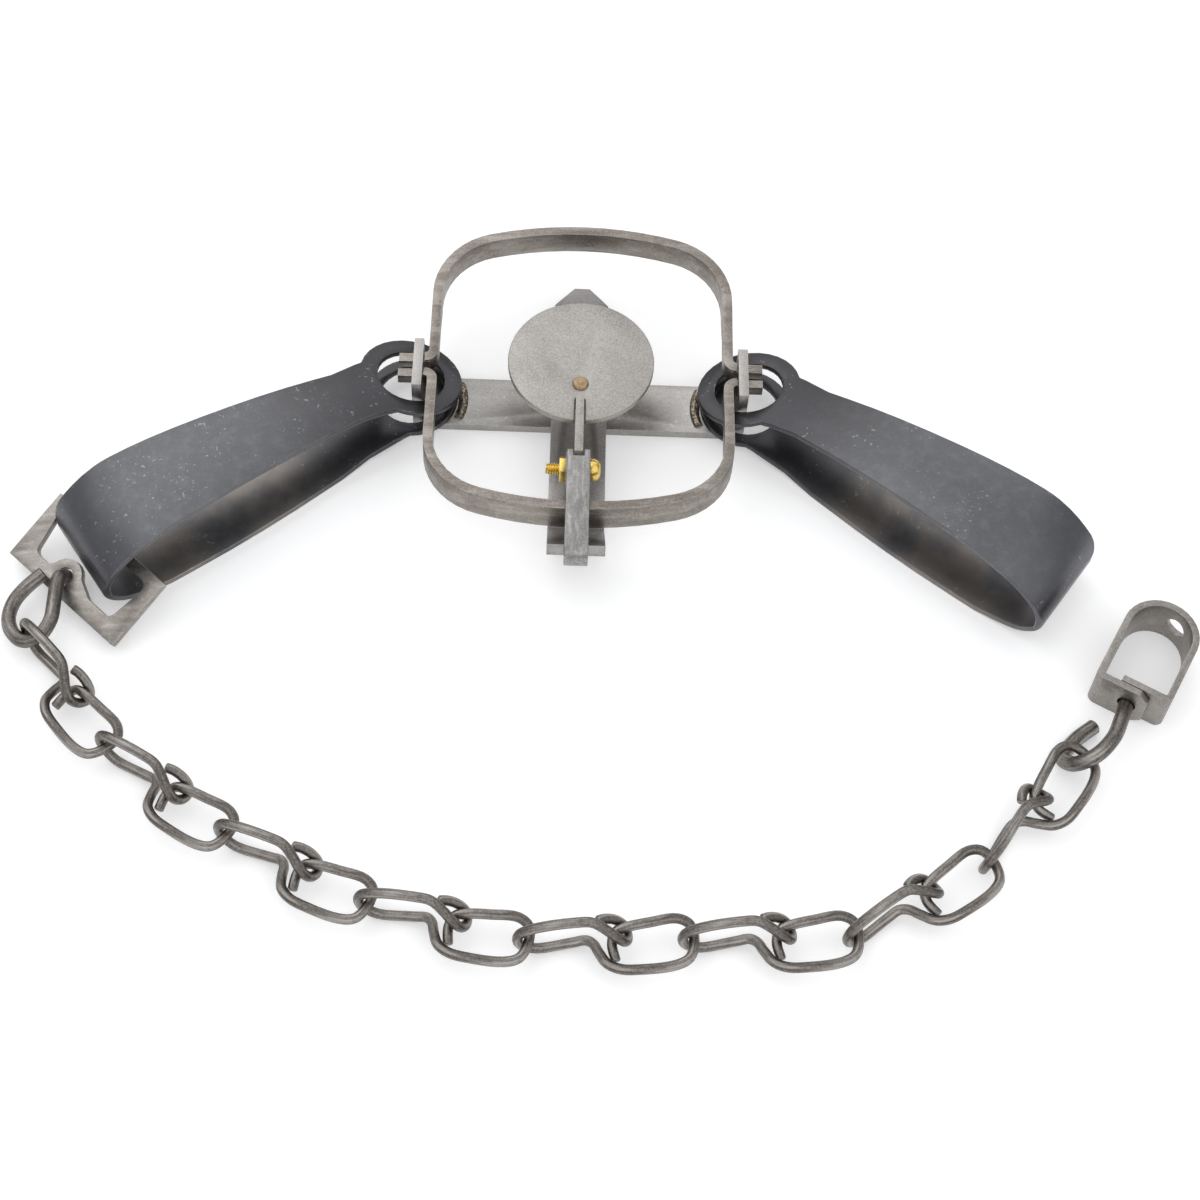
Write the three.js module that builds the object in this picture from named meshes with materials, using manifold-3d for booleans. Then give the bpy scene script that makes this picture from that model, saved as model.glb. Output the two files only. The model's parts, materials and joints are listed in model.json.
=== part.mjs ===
// A double long spring trap, set, with its chain: millimetres, +Z up, +Y to the rear.
// The origin is the centre of the cross strip's underside, on the ground.
import * as THREE from "three";
import { mergeVertices } from "three/addons/utils/BufferGeometryUtils.js";
import Module from "manifold-3d";

const wasm = await Module();
wasm.setup();

// Clearances and overruns shared by every piece
const RUNNING_GAP = 0.3;
const CUT_OVERRUN = 4;
const MERGE_TOLERANCE = 1e-4;
const LONGEST_MITRE_SHARE = 0.5;

// Base: cross strip with posts, and the arm across it
const STRIP_THICKNESS = 3.2;
const CROSS_WIDTH = 18;
const POST_THICKNESS = 3;
const POST_INNER_X = 49.6;
const POST_TOP_Z = 24;
const POST_BEND_RADIUS = 3.4;
const STUB_HOLE_RADIUS = 2.5;
const ARM_WIDTH = 17.5;
const ARM_REAR_Y = 45;
const ARM_CHAMFER_LENGTH = 7;
const ARM_REAR_FLAT = 5;
const ARM_BEND_Y = -49.5;
const ARM_BEND_RADIUS = 5;
const FRAME_RIVET_RADIUS = 2.4;
const FRAME_RIVET_HEAD_RADIUS = 4.2;
const FRAME_RIVET_HEAD_HEIGHT = 2;
const FRAME_RIVET_FLOOR = 0.8;
const RIVET_CROWN_SHARES = [
  [1, 0],
  [0.8, 0.65],
  [0.5, 1],
  [0, 1],
];
const WELD_RADIUS = 1.5;
const WELD_SPREAD_DEG = 24;

// Jaws and their pivots
const JAW_PIVOT_Y = 3.05;
const JAW_PIVOT_Z = 20.3;
const JAW_SET_TILT_DEG = 4;
const JAW_THICKNESS = 3;
const JAW_RISE = 2.6;
const JAW_DROP = 6.9;
const JAW_END_DROP = 3.6;
const JAW_END_LENGTH = 13.5;
const JAW_TAPER_LENGTH = 8.5;
const JAW_APEX = 50.45;
const JAW_BOW_RADIUS = 114;
const JAW_CORNER_RADIUS = 22.5;
const JAW_BEND_RADIUS = 2.8;
const JAW_SHOULDER_GAP = 0.4;
const STUB_HEIGHT = 3.4;
const STUB_REACH = 4.6;

// Dog
const DOG_HINGE_Y = -66.5;
const DOG_HINGE_Z = 22.7;
const DOG_WIDTH = 7.2;
const DOG_THICKNESS = 2.2;
const DOG_CURL_RADIUS = 3.8;
const DOG_CURL_START_DEG = -40;
const DOG_CURL_END_DEG = -270;
const DOG_ARCH_REACH = 16.5;
const DOG_ARCH_HEIGHT = 7.6;
const DOG_TIP_REACH = 31.8;
const DOG_TIP_HEIGHT = 5.4;
const DOG_RISE_SHARES = [
  [0.4, 0.28],
  [0.72, 0.74],
  [1, 1],
];
const DOG_FALL_SHARES = [
  [1.22, 0.1],
  [1.46, 0.64],
];
const DOG_SLOT_WIDTH = 3.4;
const DOG_SLOT_DEPTH = 2.4;
const DOG_SIDE_GAP = 0.5;

// Pan, shank, post and bolt
const PAN_RADIUS = 22.9;
const PAN_THICKNESS = 2.2;
const PAN_TOP_Z = 26;
const PAN_CENTRE_Y = 1;
const PAN_SLOT_WIDTH = 3.2;
const PAN_SLOT_START_Y = -13.5;
const SHANK_THICKNESS = 2.6;
const SHANK_TOP_Z = 27.8;
const SHANK_NOSE_Y = -35.5;
const SHANK_NOSE_DEPTH = 4.6;
const SHANK_WEB_DEPTH = 8;
const SHANK_BOSS_RADIUS = 3.6;
const SHANK_BOSS_DEPTH_SHARE = 0.8;
const FOOT_WIDTH = 9;
const FOOT_THICKNESS = 2;
const FOOT_REAR_Y = -3;
const PAN_RIVET_Y = -8;
const PAN_RIVET_RADIUS = 1.8;
const PAN_RIVET_HEAD_RADIUS = 2.7;
const PAN_RIVET_HEAD_HEIGHT = 0.7;
const PAN_RIVET_CROWN_SHARE = 0.8;
const BOLT_Y = -33.5;
const BOLT_Z = 16;
const BOLT_RADIUS = 1.8;
const BOLT_HEAD_RADIUS = 3.65;
const BOLT_HEAD_HEIGHT = 3.4;
const BOLT_HEAD_SHARES = [
  [1, 0],
  [1, 0.35],
  [0.85, 0.72],
  [0.5, 0.95],
  [0, 1],
];
const BOLT_SLOT_WIDTH = 1;
const BOLT_SLOT_DEPTH = 1.2;
const BOLT_TAIL = 4.2;
const NUT_ACROSS_CORNERS = 8.6;
const NUT_THICKNESS = 2;
const NUT_TURN_DEG = 17;
const EAR_INNER_X = 1.9;
const EAR_THICKNESS = 1.8;
const EAR_LENGTH = 11;
const EAR_TOP_Z = 20.6;
const EAR_CORNER_RADIUS = 3.5;

// Springs: u runs out from the ring's centre along the leaf, v across it. The lower leaf is the
// wider one, and its ring is the narrower.
const SPRING_SWING_DEG = 35.6;
const SPRING_THICKNESS = 2;
const RING_CENTRE_X = 53.4;
const RING_HOLE_RADIUS = 10.6;
const UPPER_RING_RADIUS = 16;
const LOWER_RING_RADIUS = 14.6;
const LOWER_RING_FLAT_REACH = 10;
const LOWER_RING_Z = 3.5;
const UPPER_RING_Z = 13.9;
const SPRING_REACH = 117.2;
const SPRING_END_CORNER = 2;
const SPRING_SPLIT_Z = 11.85;
const NECK_REACH = 23;
const UPPER_NECK_HALF_WIDTH = 10;
const LOWER_NECK_HALF_WIDTH = 11.4;
const NECK_BLEND_DEG = 4;
const WAIST_REACH_SHARE = 0.44;
const UPPER_WAIST_HALF_WIDTH = 12.6;
const LOWER_WAIST_HALF_WIDTH = 14.4;
const BELLY_REACH_SHARE = 0.644;
const UPPER_BELLY_HALF_WIDTH = 14.6;
const LOWER_BELLY_HALF_WIDTH = 16;
const BEND_INSET = 18;
const BEND_HALF_WIDTH = 16.5;
const UPPER_STEP_REACH = 14.5;
const UPPER_STEP_Z = 19.6;
const UPPER_MID_REACH_SHARE = 0.373;
const UPPER_MID_Z = 25.4;
const UPPER_CREST_REACH_SHARE = 0.661;
const UPPER_CREST_Z = 28.3;
const UPPER_SHOULDER_INSET = 17;
const UPPER_SHOULDER_Z = 26.6;
const UPPER_TURN_INSET = 4.8;
const UPPER_TURN_Z = 20;
const LOWER_FOOT_REACH_SHARE = 0.288;
const LOWER_TOE_INSET = 21;
const LOWER_TURN_INSET = 7.5;
const LOWER_TURN_Z = 4.2;

// Chain bracket, placed from the left spring's end: w runs along its outer bar, n towards the spring
const BRACKET_CLEAR_REACH = 10.6;
const BRACKET_SIDE = 5.65;
const BRACKET_Z = 5;
const BRACKET_TURN_DEG = 103.2;
const BRACKET_TILT_DEG = 22;
const BRACKET_LENGTH = 46.8;
const BRACKET_DEPTH = 23.6;
const BRACKET_THICKNESS = 2.5;
const BRACKET_ARM_WIDTH = 3.8;
const BRACKET_ARM_FOOT_WIDTH = 6.5;
const BRACKET_BAR_WIDTH = 5.4;
const BRACKET_CROSSBAR_WIDTH = 3.4;
const BRACKET_FILLET = 2.4;
const TONGUE_W = -3.7;
const TONGUE_N = 5.8;
const TONGUE_RADIUS = 5.6;
const TONGUE_WEB_LEFT = 8.5;
const TONGUE_WEB_RIGHT = 17;
const TONGUE_SHOULDER_SHARE = 0.8;
const HOOK_WIRE_RADIUS = 2.2;
const HOOK_LENGTH = 24;
const HOOK_WIDTH = 16;
const HOOK_SHARES = [
  [-0.29, -0.13, 1.14],
  [-0.33, -0.38, 1.7],
  [-0.31, -0.62, 2],
  [-0.12, -0.81, 2.7],
  [0.2, -0.9, 3.5],
  [0.54, -0.87, 4],
  [0.68, -0.69, 3.6],
  [0.58, -0.49, 2.7],
  [0.33, -0.29, 2.1],
  [0.12, -0.13, 1.65],
  [0.02, -0.04, 1.2],
  [0, 0, 0],
];
const HOOK_BIGHT_SHARE = 0.458;

// Chain
const LINK_WIRE_RADIUS = 1.45;
const CHAIN_SPARE_SPAN = 11.6;
const LINK_HALF_WIDTH = 6.75;
const LINK_KNOT_Z = 8.3;
const LINK_ROLL_DEG = 2;
const LAST_LINK_ROLL_DEG = 10;
const LINK_HEADINGS_DEG = [-52.5, -35.2, -25.5, -12.2, 2.2, 3, 30.2, 49.5];
const LINK_SHARES = [
  [-0.097, 0.65, 0.39],
  [-0.004, 0.8, 0.21],
  [0.109, 0.86, -0.06],
  [0.206, 0.76, -0.37],
  [0.248, 0.45, -0.46],
  [0.248, 0.09, -0.24],
  [0.206, -0.13, 0.13],
  [0.109, -0.07, 0.49],
  [-0.008, 0.15, 0.73],
  [-0.16, 0.37, 0.92],
  [-0.379, 0.33, 1],
  [-0.779, 0.13, 0.98],
  [-0.952, 0.07, 0.58],
  [-1, 0.04, 0],
  [-0.952, 0.01, -0.58],
  [-0.779, 0.01, -0.98],
  [-0.379, 0.24, -0.98],
  [-0.219, 0.27, -0.8],
  [-0.135, 0.03, -0.58],
  [-0.076, -0.44, -0.33],
  [0.013, -0.98, -0.09],
  [0.16, -1.24, 0],
  [0.379, -1.26, 0],
  [0.783, -1.08, 0],
  [0.943, -0.77, 0],
  [1, -0.06, 0],
  [0.96, 0.62, 0],
  [0.817, 0.89, 0],
  [0.505, 0.73, 0],
  [0.236, 0.52, 0],
  [0.109, 0.34, -0.09],
  [0.072, -0.09, -0.25],
  [0.114, -0.8, -0.39],
];
const LINK_STEPS = 90;
const WIRE_SIDES = 6;
const BORE_SIDES = 16;

// Swivel: x runs along the eye's rod into the strap, y to its left
const SWIVEL_HEADING_DEG = 61;
const EYE_WIRE_RADIUS = 2.25;
const EYE_REACH = 27;
const EYE_OFFSET = 5.2;
const EYE_ROD_Z = 7.5;
const EYE_HUMP_Z = 12.4;
const EYE_TAIL_Z = 3;
const EYE_HUMP_SHARES = [
  [0.28, -0.15, 0.5],
  [0.6, -0.23, 1],
  [0.88, 0.15, 1],
];
const EYE_TAIL_SHARES = [
  [0.9, 1.8],
  [0.64, 1.6],
  [0.36, 1],
];
const EYE_HEAD_RADIUS = 3.7;
const EYE_HEAD_LENGTH = 2.4;
const STRAP_THICKNESS = 2;
const STRAP_HEIGHT = 15;
const STRAP_HALF_WIDTH = 10.4;
const STRAP_LEG_LENGTH = 22;
const STRAP_CORNER_RADIUS = 1.6;
const STRAP_OUTER_LAP = 5.5;
const STRAP_INNER_LAP = 4;
const STRAP_CLIP = 3;
const STRAP_HOLE_RADIUS = 3.4;
const STRAP_HOLE_DEG = -18;

// Finishes
const metal = (color, roughness, metalness) =>
  new THREE.MeshStandardMaterial({ color, roughness, metalness });
const BASE_STEEL = metal(0x77777a, 0.45, 0.9);
const JAW_STEEL = metal(0x9a9692, 0.5, 0.85);
const PAN_STEEL = metal(0x85878c, 0.5, 0.85);
const BLUED_STEEL = metal(0x4d565f, 0.35, 0.9);
const BRACKET_STEEL = metal(0xa8a098, 0.55, 0.8);
const WIRE_STEEL = metal(0x6d6660, 0.55, 0.85);
const STRAP_STEEL = metal(0x8f8a85, 0.5, 0.85);
const BRASS = metal(0xb58a4a, 0.35, 0.95);

const radians = THREE.MathUtils.degToRad;
const v2 = (x, y) => new THREE.Vector2(x, y);
const v3 = (x, y, z) => new THREE.Vector3(x, y, z);
const headingOf = (degrees) => v3(Math.cos(radians(degrees)), Math.sin(radians(degrees)), 0);

// A closed geometry as a solid that can be joined and cut
function solidOf(geometry) {
  const bare = new THREE.BufferGeometry();
  bare.setAttribute("position", geometry.getAttribute("position"));
  if (geometry.index) bare.setIndex(geometry.index);
  const merged = mergeVertices(bare, MERGE_TOLERANCE);
  return new wasm.Manifold(
    new wasm.Mesh({
      numProp: 3,
      vertProperties: new Float32Array(merged.attributes.position.array),
      triVerts: new Uint32Array(merged.index.array),
    }),
  );
}

function meshOf(name, solid, material) {
  const cut = solid.getMesh();
  const geometry = new THREE.BufferGeometry();
  geometry.setAttribute("position", new THREE.BufferAttribute(cut.vertProperties, 3));
  geometry.setIndex(new THREE.BufferAttribute(cut.triVerts, 1));
  geometry.computeVertexNormals();
  const mesh = new THREE.Mesh(geometry, material);
  mesh.name = name;
  return mesh;
}

// An outline as a flat area that can be joined, cut and rounded
const flatOf = (outline) => new wasm.CrossSection([outline.map((point) => [point.x, point.y])]);

// A flat outline in x and y, extruded from a low to a high z
function slab(outline, lowZ, highZ) {
  const shape = new THREE.Shape(outline);
  const geometry = new THREE.ExtrudeGeometry(shape, { depth: highZ - lowZ, bevelEnabled: false });
  geometry.translate(0, 0, lowZ);
  return geometry;
}

// A side outline in Y and Z, extruded along X about the middle plane
function acrossX(outline, width) {
  const geometry = slab(outline, -width / 2, width / 2);
  const axes = new THREE.Matrix4().makeBasis(v3(0, 1, 0), v3(0, 0, 1), v3(1, 0, 0));
  return geometry.applyMatrix4(axes);
}

// A front outline in X and Z, extruded along Y about the middle plane
function acrossY(outline, width) {
  const geometry = slab(outline, -width / 2, width / 2);
  const axes = new THREE.Matrix4().makeBasis(v3(1, 0, 0), v3(0, 0, 1), v3(0, -1, 0));
  return geometry.applyMatrix4(axes);
}

function rod(radius, from, to, sides = 20) {
  const along = to.clone().sub(from);
  const geometry = new THREE.CylinderGeometry(radius, radius, along.length(), sides);
  const turn = new THREE.Quaternion().setFromUnitVectors(v3(0, 1, 0), along.clone().normalize());
  geometry.applyQuaternion(turn);
  const middle = from.clone().add(to).multiplyScalar(0.5);
  return geometry.translate(middle.x, middle.y, middle.z);
}

function rectangle(lowX, lowY, highX, highY) {
  return [v2(lowX, lowY), v2(highX, lowY), v2(highX, highY), v2(lowX, highY)];
}

// Points round an arc, from one angle to another
function arc(centre, radius, startDeg, endDeg, steps) {
  const points = [];
  for (let i = 0; i <= steps; i += 1) {
    const angle = radians(startDeg + ((endDeg - startDeg) * i) / steps);
    points.push(v2(centre.x + radius * Math.cos(angle), centre.y + radius * Math.sin(angle)));
  }
  return points;
}

// A line of corners with each inner corner rounded to a radius
function rounded(corners, radius, steps = 5) {
  const path = [corners[0]];
  for (let i = 1; i < corners.length - 1; i += 1) {
    const corner = corners[i];
    const back = corners[i - 1].clone().sub(corner).normalize();
    const ahead = corners[i + 1].clone().sub(corner).normalize();
    const halfAngle = Math.acos(back.dot(ahead)) / 2;
    const tangent = radius / Math.tan(halfAngle);
    const start = corner.clone().addScaledVector(back, tangent);
    const end = corner.clone().addScaledVector(ahead, tangent);
    const middle = back.clone().add(ahead).normalize();
    const centre = corner.clone().addScaledVector(middle, radius / Math.sin(halfAngle));
    const from = start.clone().sub(centre).angle();
    let sweep = end.clone().sub(centre).angle() - from;
    if (sweep > Math.PI) sweep -= 2 * Math.PI;
    if (sweep < -Math.PI) sweep += 2 * Math.PI;
    for (let k = 0; k <= steps; k += 1) {
      const angle = from + (sweep * k) / steps;
      path.push(v2(centre.x + radius * Math.cos(angle), centre.y + radius * Math.sin(angle)));
    }
  }
  path.push(corners[corners.length - 1]);
  return path;
}

// The outline of a strip of one thickness that follows a path
function ribbon(path, thickness) {
  const left = [];
  const right = [];
  path.forEach((point, i) => {
    const before = path[Math.max(i - 1, 0)];
    const after = path[Math.min(i + 1, path.length - 1)];
    const into = (i > 0 ? point.clone().sub(before) : after.clone().sub(point)).normalize();
    const out = (i < path.length - 1 ? after.clone().sub(point) : point.clone().sub(before)).normalize();
    const tangent = into.clone().add(out).normalize();
    const normal = v2(-tangent.y, tangent.x);
    const reach = thickness / 2 / Math.max(tangent.dot(into), LONGEST_MITRE_SHARE);
    left.push(point.clone().addScaledVector(normal, reach));
    right.push(point.clone().addScaledVector(normal, -reach));
  });
  return [...right, ...left.reverse()];
}

function smoothPath(points, steps) {
  return new THREE.SplineCurve(points).getPoints(steps);
}

// A round wire along an open path through the given points
function wire(points, radius, steps, sides) {
  const section = new THREE.Shape(arc(v2(0, 0), radius, 0, 360 - 360 / sides, sides - 1));
  const path = new THREE.CatmullRomCurve3(points, false, "centripetal");
  return new THREE.ExtrudeGeometry(section, { steps, bevelEnabled: false, extrudePath: path });
}

const trap = new THREE.Group();

// Base
const crossTopZ = STRIP_THICKNESS;
const armTopZ = 2 * STRIP_THICKNESS;
const postOuterX = POST_INNER_X + POST_THICKNESS;

function makeBaseCross() {
  const corners = [
    v2(-postOuterX, POST_TOP_Z),
    v2(-postOuterX, 0),
    v2(postOuterX, 0),
    v2(postOuterX, POST_TOP_Z),
  ];
  const innerCorners = [
    v2(POST_INNER_X, POST_TOP_Z),
    v2(POST_INNER_X, crossTopZ),
    v2(-POST_INNER_X, crossTopZ),
    v2(-POST_INNER_X, POST_TOP_Z),
  ];
  const innerRadius = POST_BEND_RADIUS - POST_THICKNESS;
  const outline = [...rounded(corners, POST_BEND_RADIUS), ...rounded(innerCorners, innerRadius, 2)];
  let solid = solidOf(acrossY(outline, CROSS_WIDTH));
  for (const side of [-1, 1]) {
    for (const y of [-JAW_PIVOT_Y, JAW_PIVOT_Y]) {
      const from = v3(side * (POST_INNER_X - CUT_OVERRUN), y, JAW_PIVOT_Z);
      const to = v3(side * (postOuterX + CUT_OVERRUN), y, JAW_PIVOT_Z);
      solid = solid.subtract(solidOf(rod(STUB_HOLE_RADIUS, from, to, BORE_SIDES)));
    }
  }
  const boreFloor = v3(0, 0, FRAME_RIVET_FLOOR);
  const bore = rod(FRAME_RIVET_RADIUS + RUNNING_GAP, boreFloor, v3(0, 0, armTopZ + CUT_OVERRUN));
  return meshOf("base_cross", solid.subtract(solidOf(bore)), BASE_STEEL);
}

// The arm's ramp runs from its bend up to the hinge of the dog
const armMiddleZ = crossTopZ + STRIP_THICKNESS / 2;
const rampFoot = v2(ARM_BEND_Y, armMiddleZ);
const rampTop = v2(DOG_HINGE_Y, DOG_HINGE_Z);
const rampAlong = rampFoot.clone().sub(rampTop).normalize();
const dogRootRadius = DOG_CURL_RADIUS + DOG_THICKNESS / 2;

function makeBaseArm() {
  const barEnd = rampTop.clone().addScaledVector(rampAlong, -STRIP_THICKNESS / 2);
  const path = rounded([barEnd, rampFoot, v2(ARM_REAR_Y, armMiddleZ)], ARM_BEND_RADIUS);
  const side = solidOf(acrossX(ribbon(path, STRIP_THICKNESS), ARM_WIDTH));
  const half = ARM_WIDTH / 2;
  const shoulderY = ARM_REAR_Y - ARM_CHAMFER_LENGTH;
  const frontY = DOG_HINGE_Y - CUT_OVERRUN;
  const plan = [
    v2(-half, frontY),
    v2(half, frontY),
    v2(half, shoulderY),
    v2(ARM_REAR_FLAT / 2, ARM_REAR_Y),
    v2(-ARM_REAR_FLAT / 2, ARM_REAR_Y),
    v2(-half, shoulderY),
  ];
  const tall = slab(plan, 0, DOG_HINGE_Z + CUT_OVERRUN);
  const windowStart = rampTop.clone().addScaledVector(rampAlong, STRIP_THICKNESS / 2);
  const windowEnd = rampTop.clone().addScaledVector(rampAlong, dogRootRadius + 2 * DOG_SIDE_GAP);
  const windowCut = acrossX(ribbon([windowStart, windowEnd], CUT_OVERRUN * 2), DOG_WIDTH + 2 * DOG_SIDE_GAP);
  const bore = rod(FRAME_RIVET_RADIUS + RUNNING_GAP, v3(0, 0, -CUT_OVERRUN), v3(0, 0, armTopZ + CUT_OVERRUN));
  const solid = side.intersect(solidOf(tall)).subtract(solidOf(windowCut)).subtract(solidOf(bore));
  return meshOf("base_arm", solid, BASE_STEEL);
}

function makeFrameRivet() {
  const profile = [
    v2(0, FRAME_RIVET_FLOOR),
    v2(FRAME_RIVET_RADIUS, FRAME_RIVET_FLOOR),
    v2(FRAME_RIVET_RADIUS, armTopZ),
    ...RIVET_CROWN_SHARES.map(([out, up]) =>
      v2(out * FRAME_RIVET_HEAD_RADIUS, armTopZ + up * FRAME_RIVET_HEAD_HEIGHT),
    ),
  ];
  const geometry = new THREE.LatheGeometry(profile, 20).rotateX(Math.PI / 2);
  return meshOf("frame_rivet", solidOf(geometry), BASE_STEEL);
}

// A weld bead lies on the cross strip, along the inner side of a spring's lower ring
function makeWeldBead(name, side) {
  const reach = LOWER_RING_RADIUS + RUNNING_GAP + WELD_RADIUS;
  const middleDeg = side > 0 ? 180 : 0;
  const centre = v2(side * RING_CENTRE_X, 0);
  const line = arc(centre, reach, middleDeg - WELD_SPREAD_DEG, middleDeg + WELD_SPREAD_DEG, 12);
  const bead = wire(line.map((point) => v3(point.x, point.y, crossTopZ)), WELD_RADIUS, 14, 8);
  const above = rectangle(-postOuterX, -postOuterX, postOuterX, postOuterX);
  const solid = solidOf(bead).intersect(solidOf(slab(above, crossTopZ, POST_TOP_Z)));
  return meshOf(name, solid, BASE_STEEL);
}

// Jaws, made flat about their pivot line: x across, y out along the jaw
function jawSolid() {
  const legX = POST_INNER_X - JAW_SHOULDER_GAP - JAW_BEND_RADIUS;
  const cornerX = legX - JAW_CORNER_RADIUS;
  const bowCentreY = JAW_APEX - JAW_BOW_RADIUS;
  const centreGap = Math.sqrt((JAW_BOW_RADIUS - JAW_CORNER_RADIUS) ** 2 - cornerX ** 2);
  const cornerY = bowCentreY + centreGap;
  const tangentDeg = THREE.MathUtils.radToDeg(Math.atan2(centreGap, cornerX));
  const bendCentre = v2(POST_INNER_X - JAW_SHOULDER_GAP, JAW_BEND_RADIUS);
  const rightHalf = [
    ...arc(bendCentre, JAW_BEND_RADIUS, 270, 180, 5),
    ...arc(v2(cornerX, cornerY), JAW_CORNER_RADIUS, 0, tangentDeg, 9),
    ...arc(v2(0, bowCentreY), JAW_BOW_RADIUS, tangentDeg, 90, 5).slice(1),
  ];
  const leftHalf = rightHalf.slice(0, -1).map((point) => v2(-point.x, point.y));
  const path = [...rightHalf, ...leftHalf.reverse()];
  let solid = solidOf(slab(ribbon(path, JAW_THICKNESS), -JAW_DROP, JAW_RISE));
  const taperEnd = JAW_END_LENGTH + JAW_TAPER_LENGTH;
  const underside = [
    v2(-CUT_OVERRUN, -JAW_DROP - CUT_OVERRUN),
    v2(taperEnd, -JAW_DROP - CUT_OVERRUN),
    v2(taperEnd, -JAW_DROP),
    v2(JAW_END_LENGTH, -JAW_END_DROP),
    v2(-CUT_OVERRUN, -JAW_END_DROP),
  ];
  solid = solid.subtract(solidOf(acrossX(underside, 2 * postOuterX)));
  const shoulderX = POST_INNER_X - JAW_SHOULDER_GAP;
  const stubEndX = postOuterX + STUB_REACH;
  const half = JAW_THICKNESS / 2;
  for (const side of [-1, 1]) {
    const near = side * (shoulderX - STUB_HEIGHT / 2);
    const far = side * stubEndX;
    const outline = [
      v2(Math.min(near, far), -half),
      v2(Math.max(near, far), -half),
      v2(Math.max(near, far), half),
      v2(Math.min(near, far), half),
    ];
    solid = solid.add(solidOf(slab(outline, -STUB_HEIGHT / 2, STUB_HEIGHT / 2)));
  }
  return solid;
}

function placeJaw(name, side) {
  const jaw = meshOf(name, jawSolid(), JAW_STEEL);
  jaw.rotation.x = radians(JAW_SET_TILT_DEG);
  jaw.position.set(0, JAW_PIVOT_Y, JAW_PIVOT_Z);
  const turned = new THREE.Group();
  if (side < 0) turned.rotation.z = Math.PI;
  turned.add(jaw);
  return turned;
}

// The dog curls round the arm's end bar and arches over the front jaw. Its rise is in shares of
// the arch's reach and climb, and its fall in shares of the arch's reach and drop to the tip.
function makeDog() {
  const curl = arc(v2(0, 0), DOG_CURL_RADIUS, DOG_CURL_START_DEG, DOG_CURL_END_DEG, 12);
  const archRise = DOG_ARCH_HEIGHT - DOG_CURL_RADIUS;
  const archFall = DOG_ARCH_HEIGHT - DOG_TIP_HEIGHT;
  const arch = [
    ...DOG_RISE_SHARES.map(([along, up]) => v2(along * DOG_ARCH_REACH, DOG_CURL_RADIUS + up * archRise)),
    ...DOG_FALL_SHARES.map(([along, down]) => v2(along * DOG_ARCH_REACH, DOG_ARCH_HEIGHT - down * archFall)),
    v2(DOG_TIP_REACH, DOG_TIP_HEIGHT),
  ];
  const path = [...curl, ...arch].map((p) => v2(DOG_HINGE_Y + p.x, DOG_HINGE_Z + p.y));
  let solid = solidOf(acrossX(ribbon(path, DOG_THICKNESS), DOG_WIDTH));
  const tipY = DOG_HINGE_Y + DOG_TIP_REACH;
  const half = DOG_SLOT_WIDTH / 2;
  const notch = [
    v2(-half, tipY - DOG_SLOT_DEPTH),
    v2(half, tipY - DOG_SLOT_DEPTH),
    v2(half, tipY + CUT_OVERRUN),
    v2(-half, tipY + CUT_OVERRUN),
  ];
  solid = solid.subtract(solidOf(slab(notch, DOG_HINGE_Z, DOG_HINGE_Z + DOG_ARCH_HEIGHT + CUT_OVERRUN)));
  return meshOf("dog", solid, BASE_STEEL);
}

// Pan and what carries it
const panBottomZ = PAN_TOP_Z - PAN_THICKNESS;

// The running hole for the pan's rivet, up through its shank's foot and the pan
function panRivetBore() {
  const top = v3(0, PAN_RIVET_Y, PAN_TOP_Z + CUT_OVERRUN);
  return solidOf(rod(PAN_RIVET_RADIUS + RUNNING_GAP, v3(0, PAN_RIVET_Y, 0), top, BORE_SIDES));
}

// The running hole for the bolt, this far to each side of the middle
function boltBore(reach) {
  const radius = BOLT_RADIUS + RUNNING_GAP;
  return solidOf(rod(radius, v3(-reach, BOLT_Y, BOLT_Z), v3(reach, BOLT_Y, BOLT_Z), BORE_SIDES));
}

function makePan() {
  const outline = arc(v2(0, PAN_CENTRE_Y), PAN_RADIUS, 0, 355, 71);
  const half = PAN_SLOT_WIDTH / 2;
  const frontY = PAN_CENTRE_Y - PAN_RADIUS - CUT_OVERRUN;
  const notch = slab(rectangle(-half, frontY, half, PAN_SLOT_START_Y), 0, PAN_TOP_Z + CUT_OVERRUN);
  const disc = solidOf(slab(outline, panBottomZ, PAN_TOP_Z));
  return meshOf("pan", disc.subtract(solidOf(notch)).subtract(panRivetBore()), PAN_STEEL);
}

const footTopZ = panBottomZ;
const footBottomZ = footTopZ - FOOT_THICKNESS;

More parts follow.
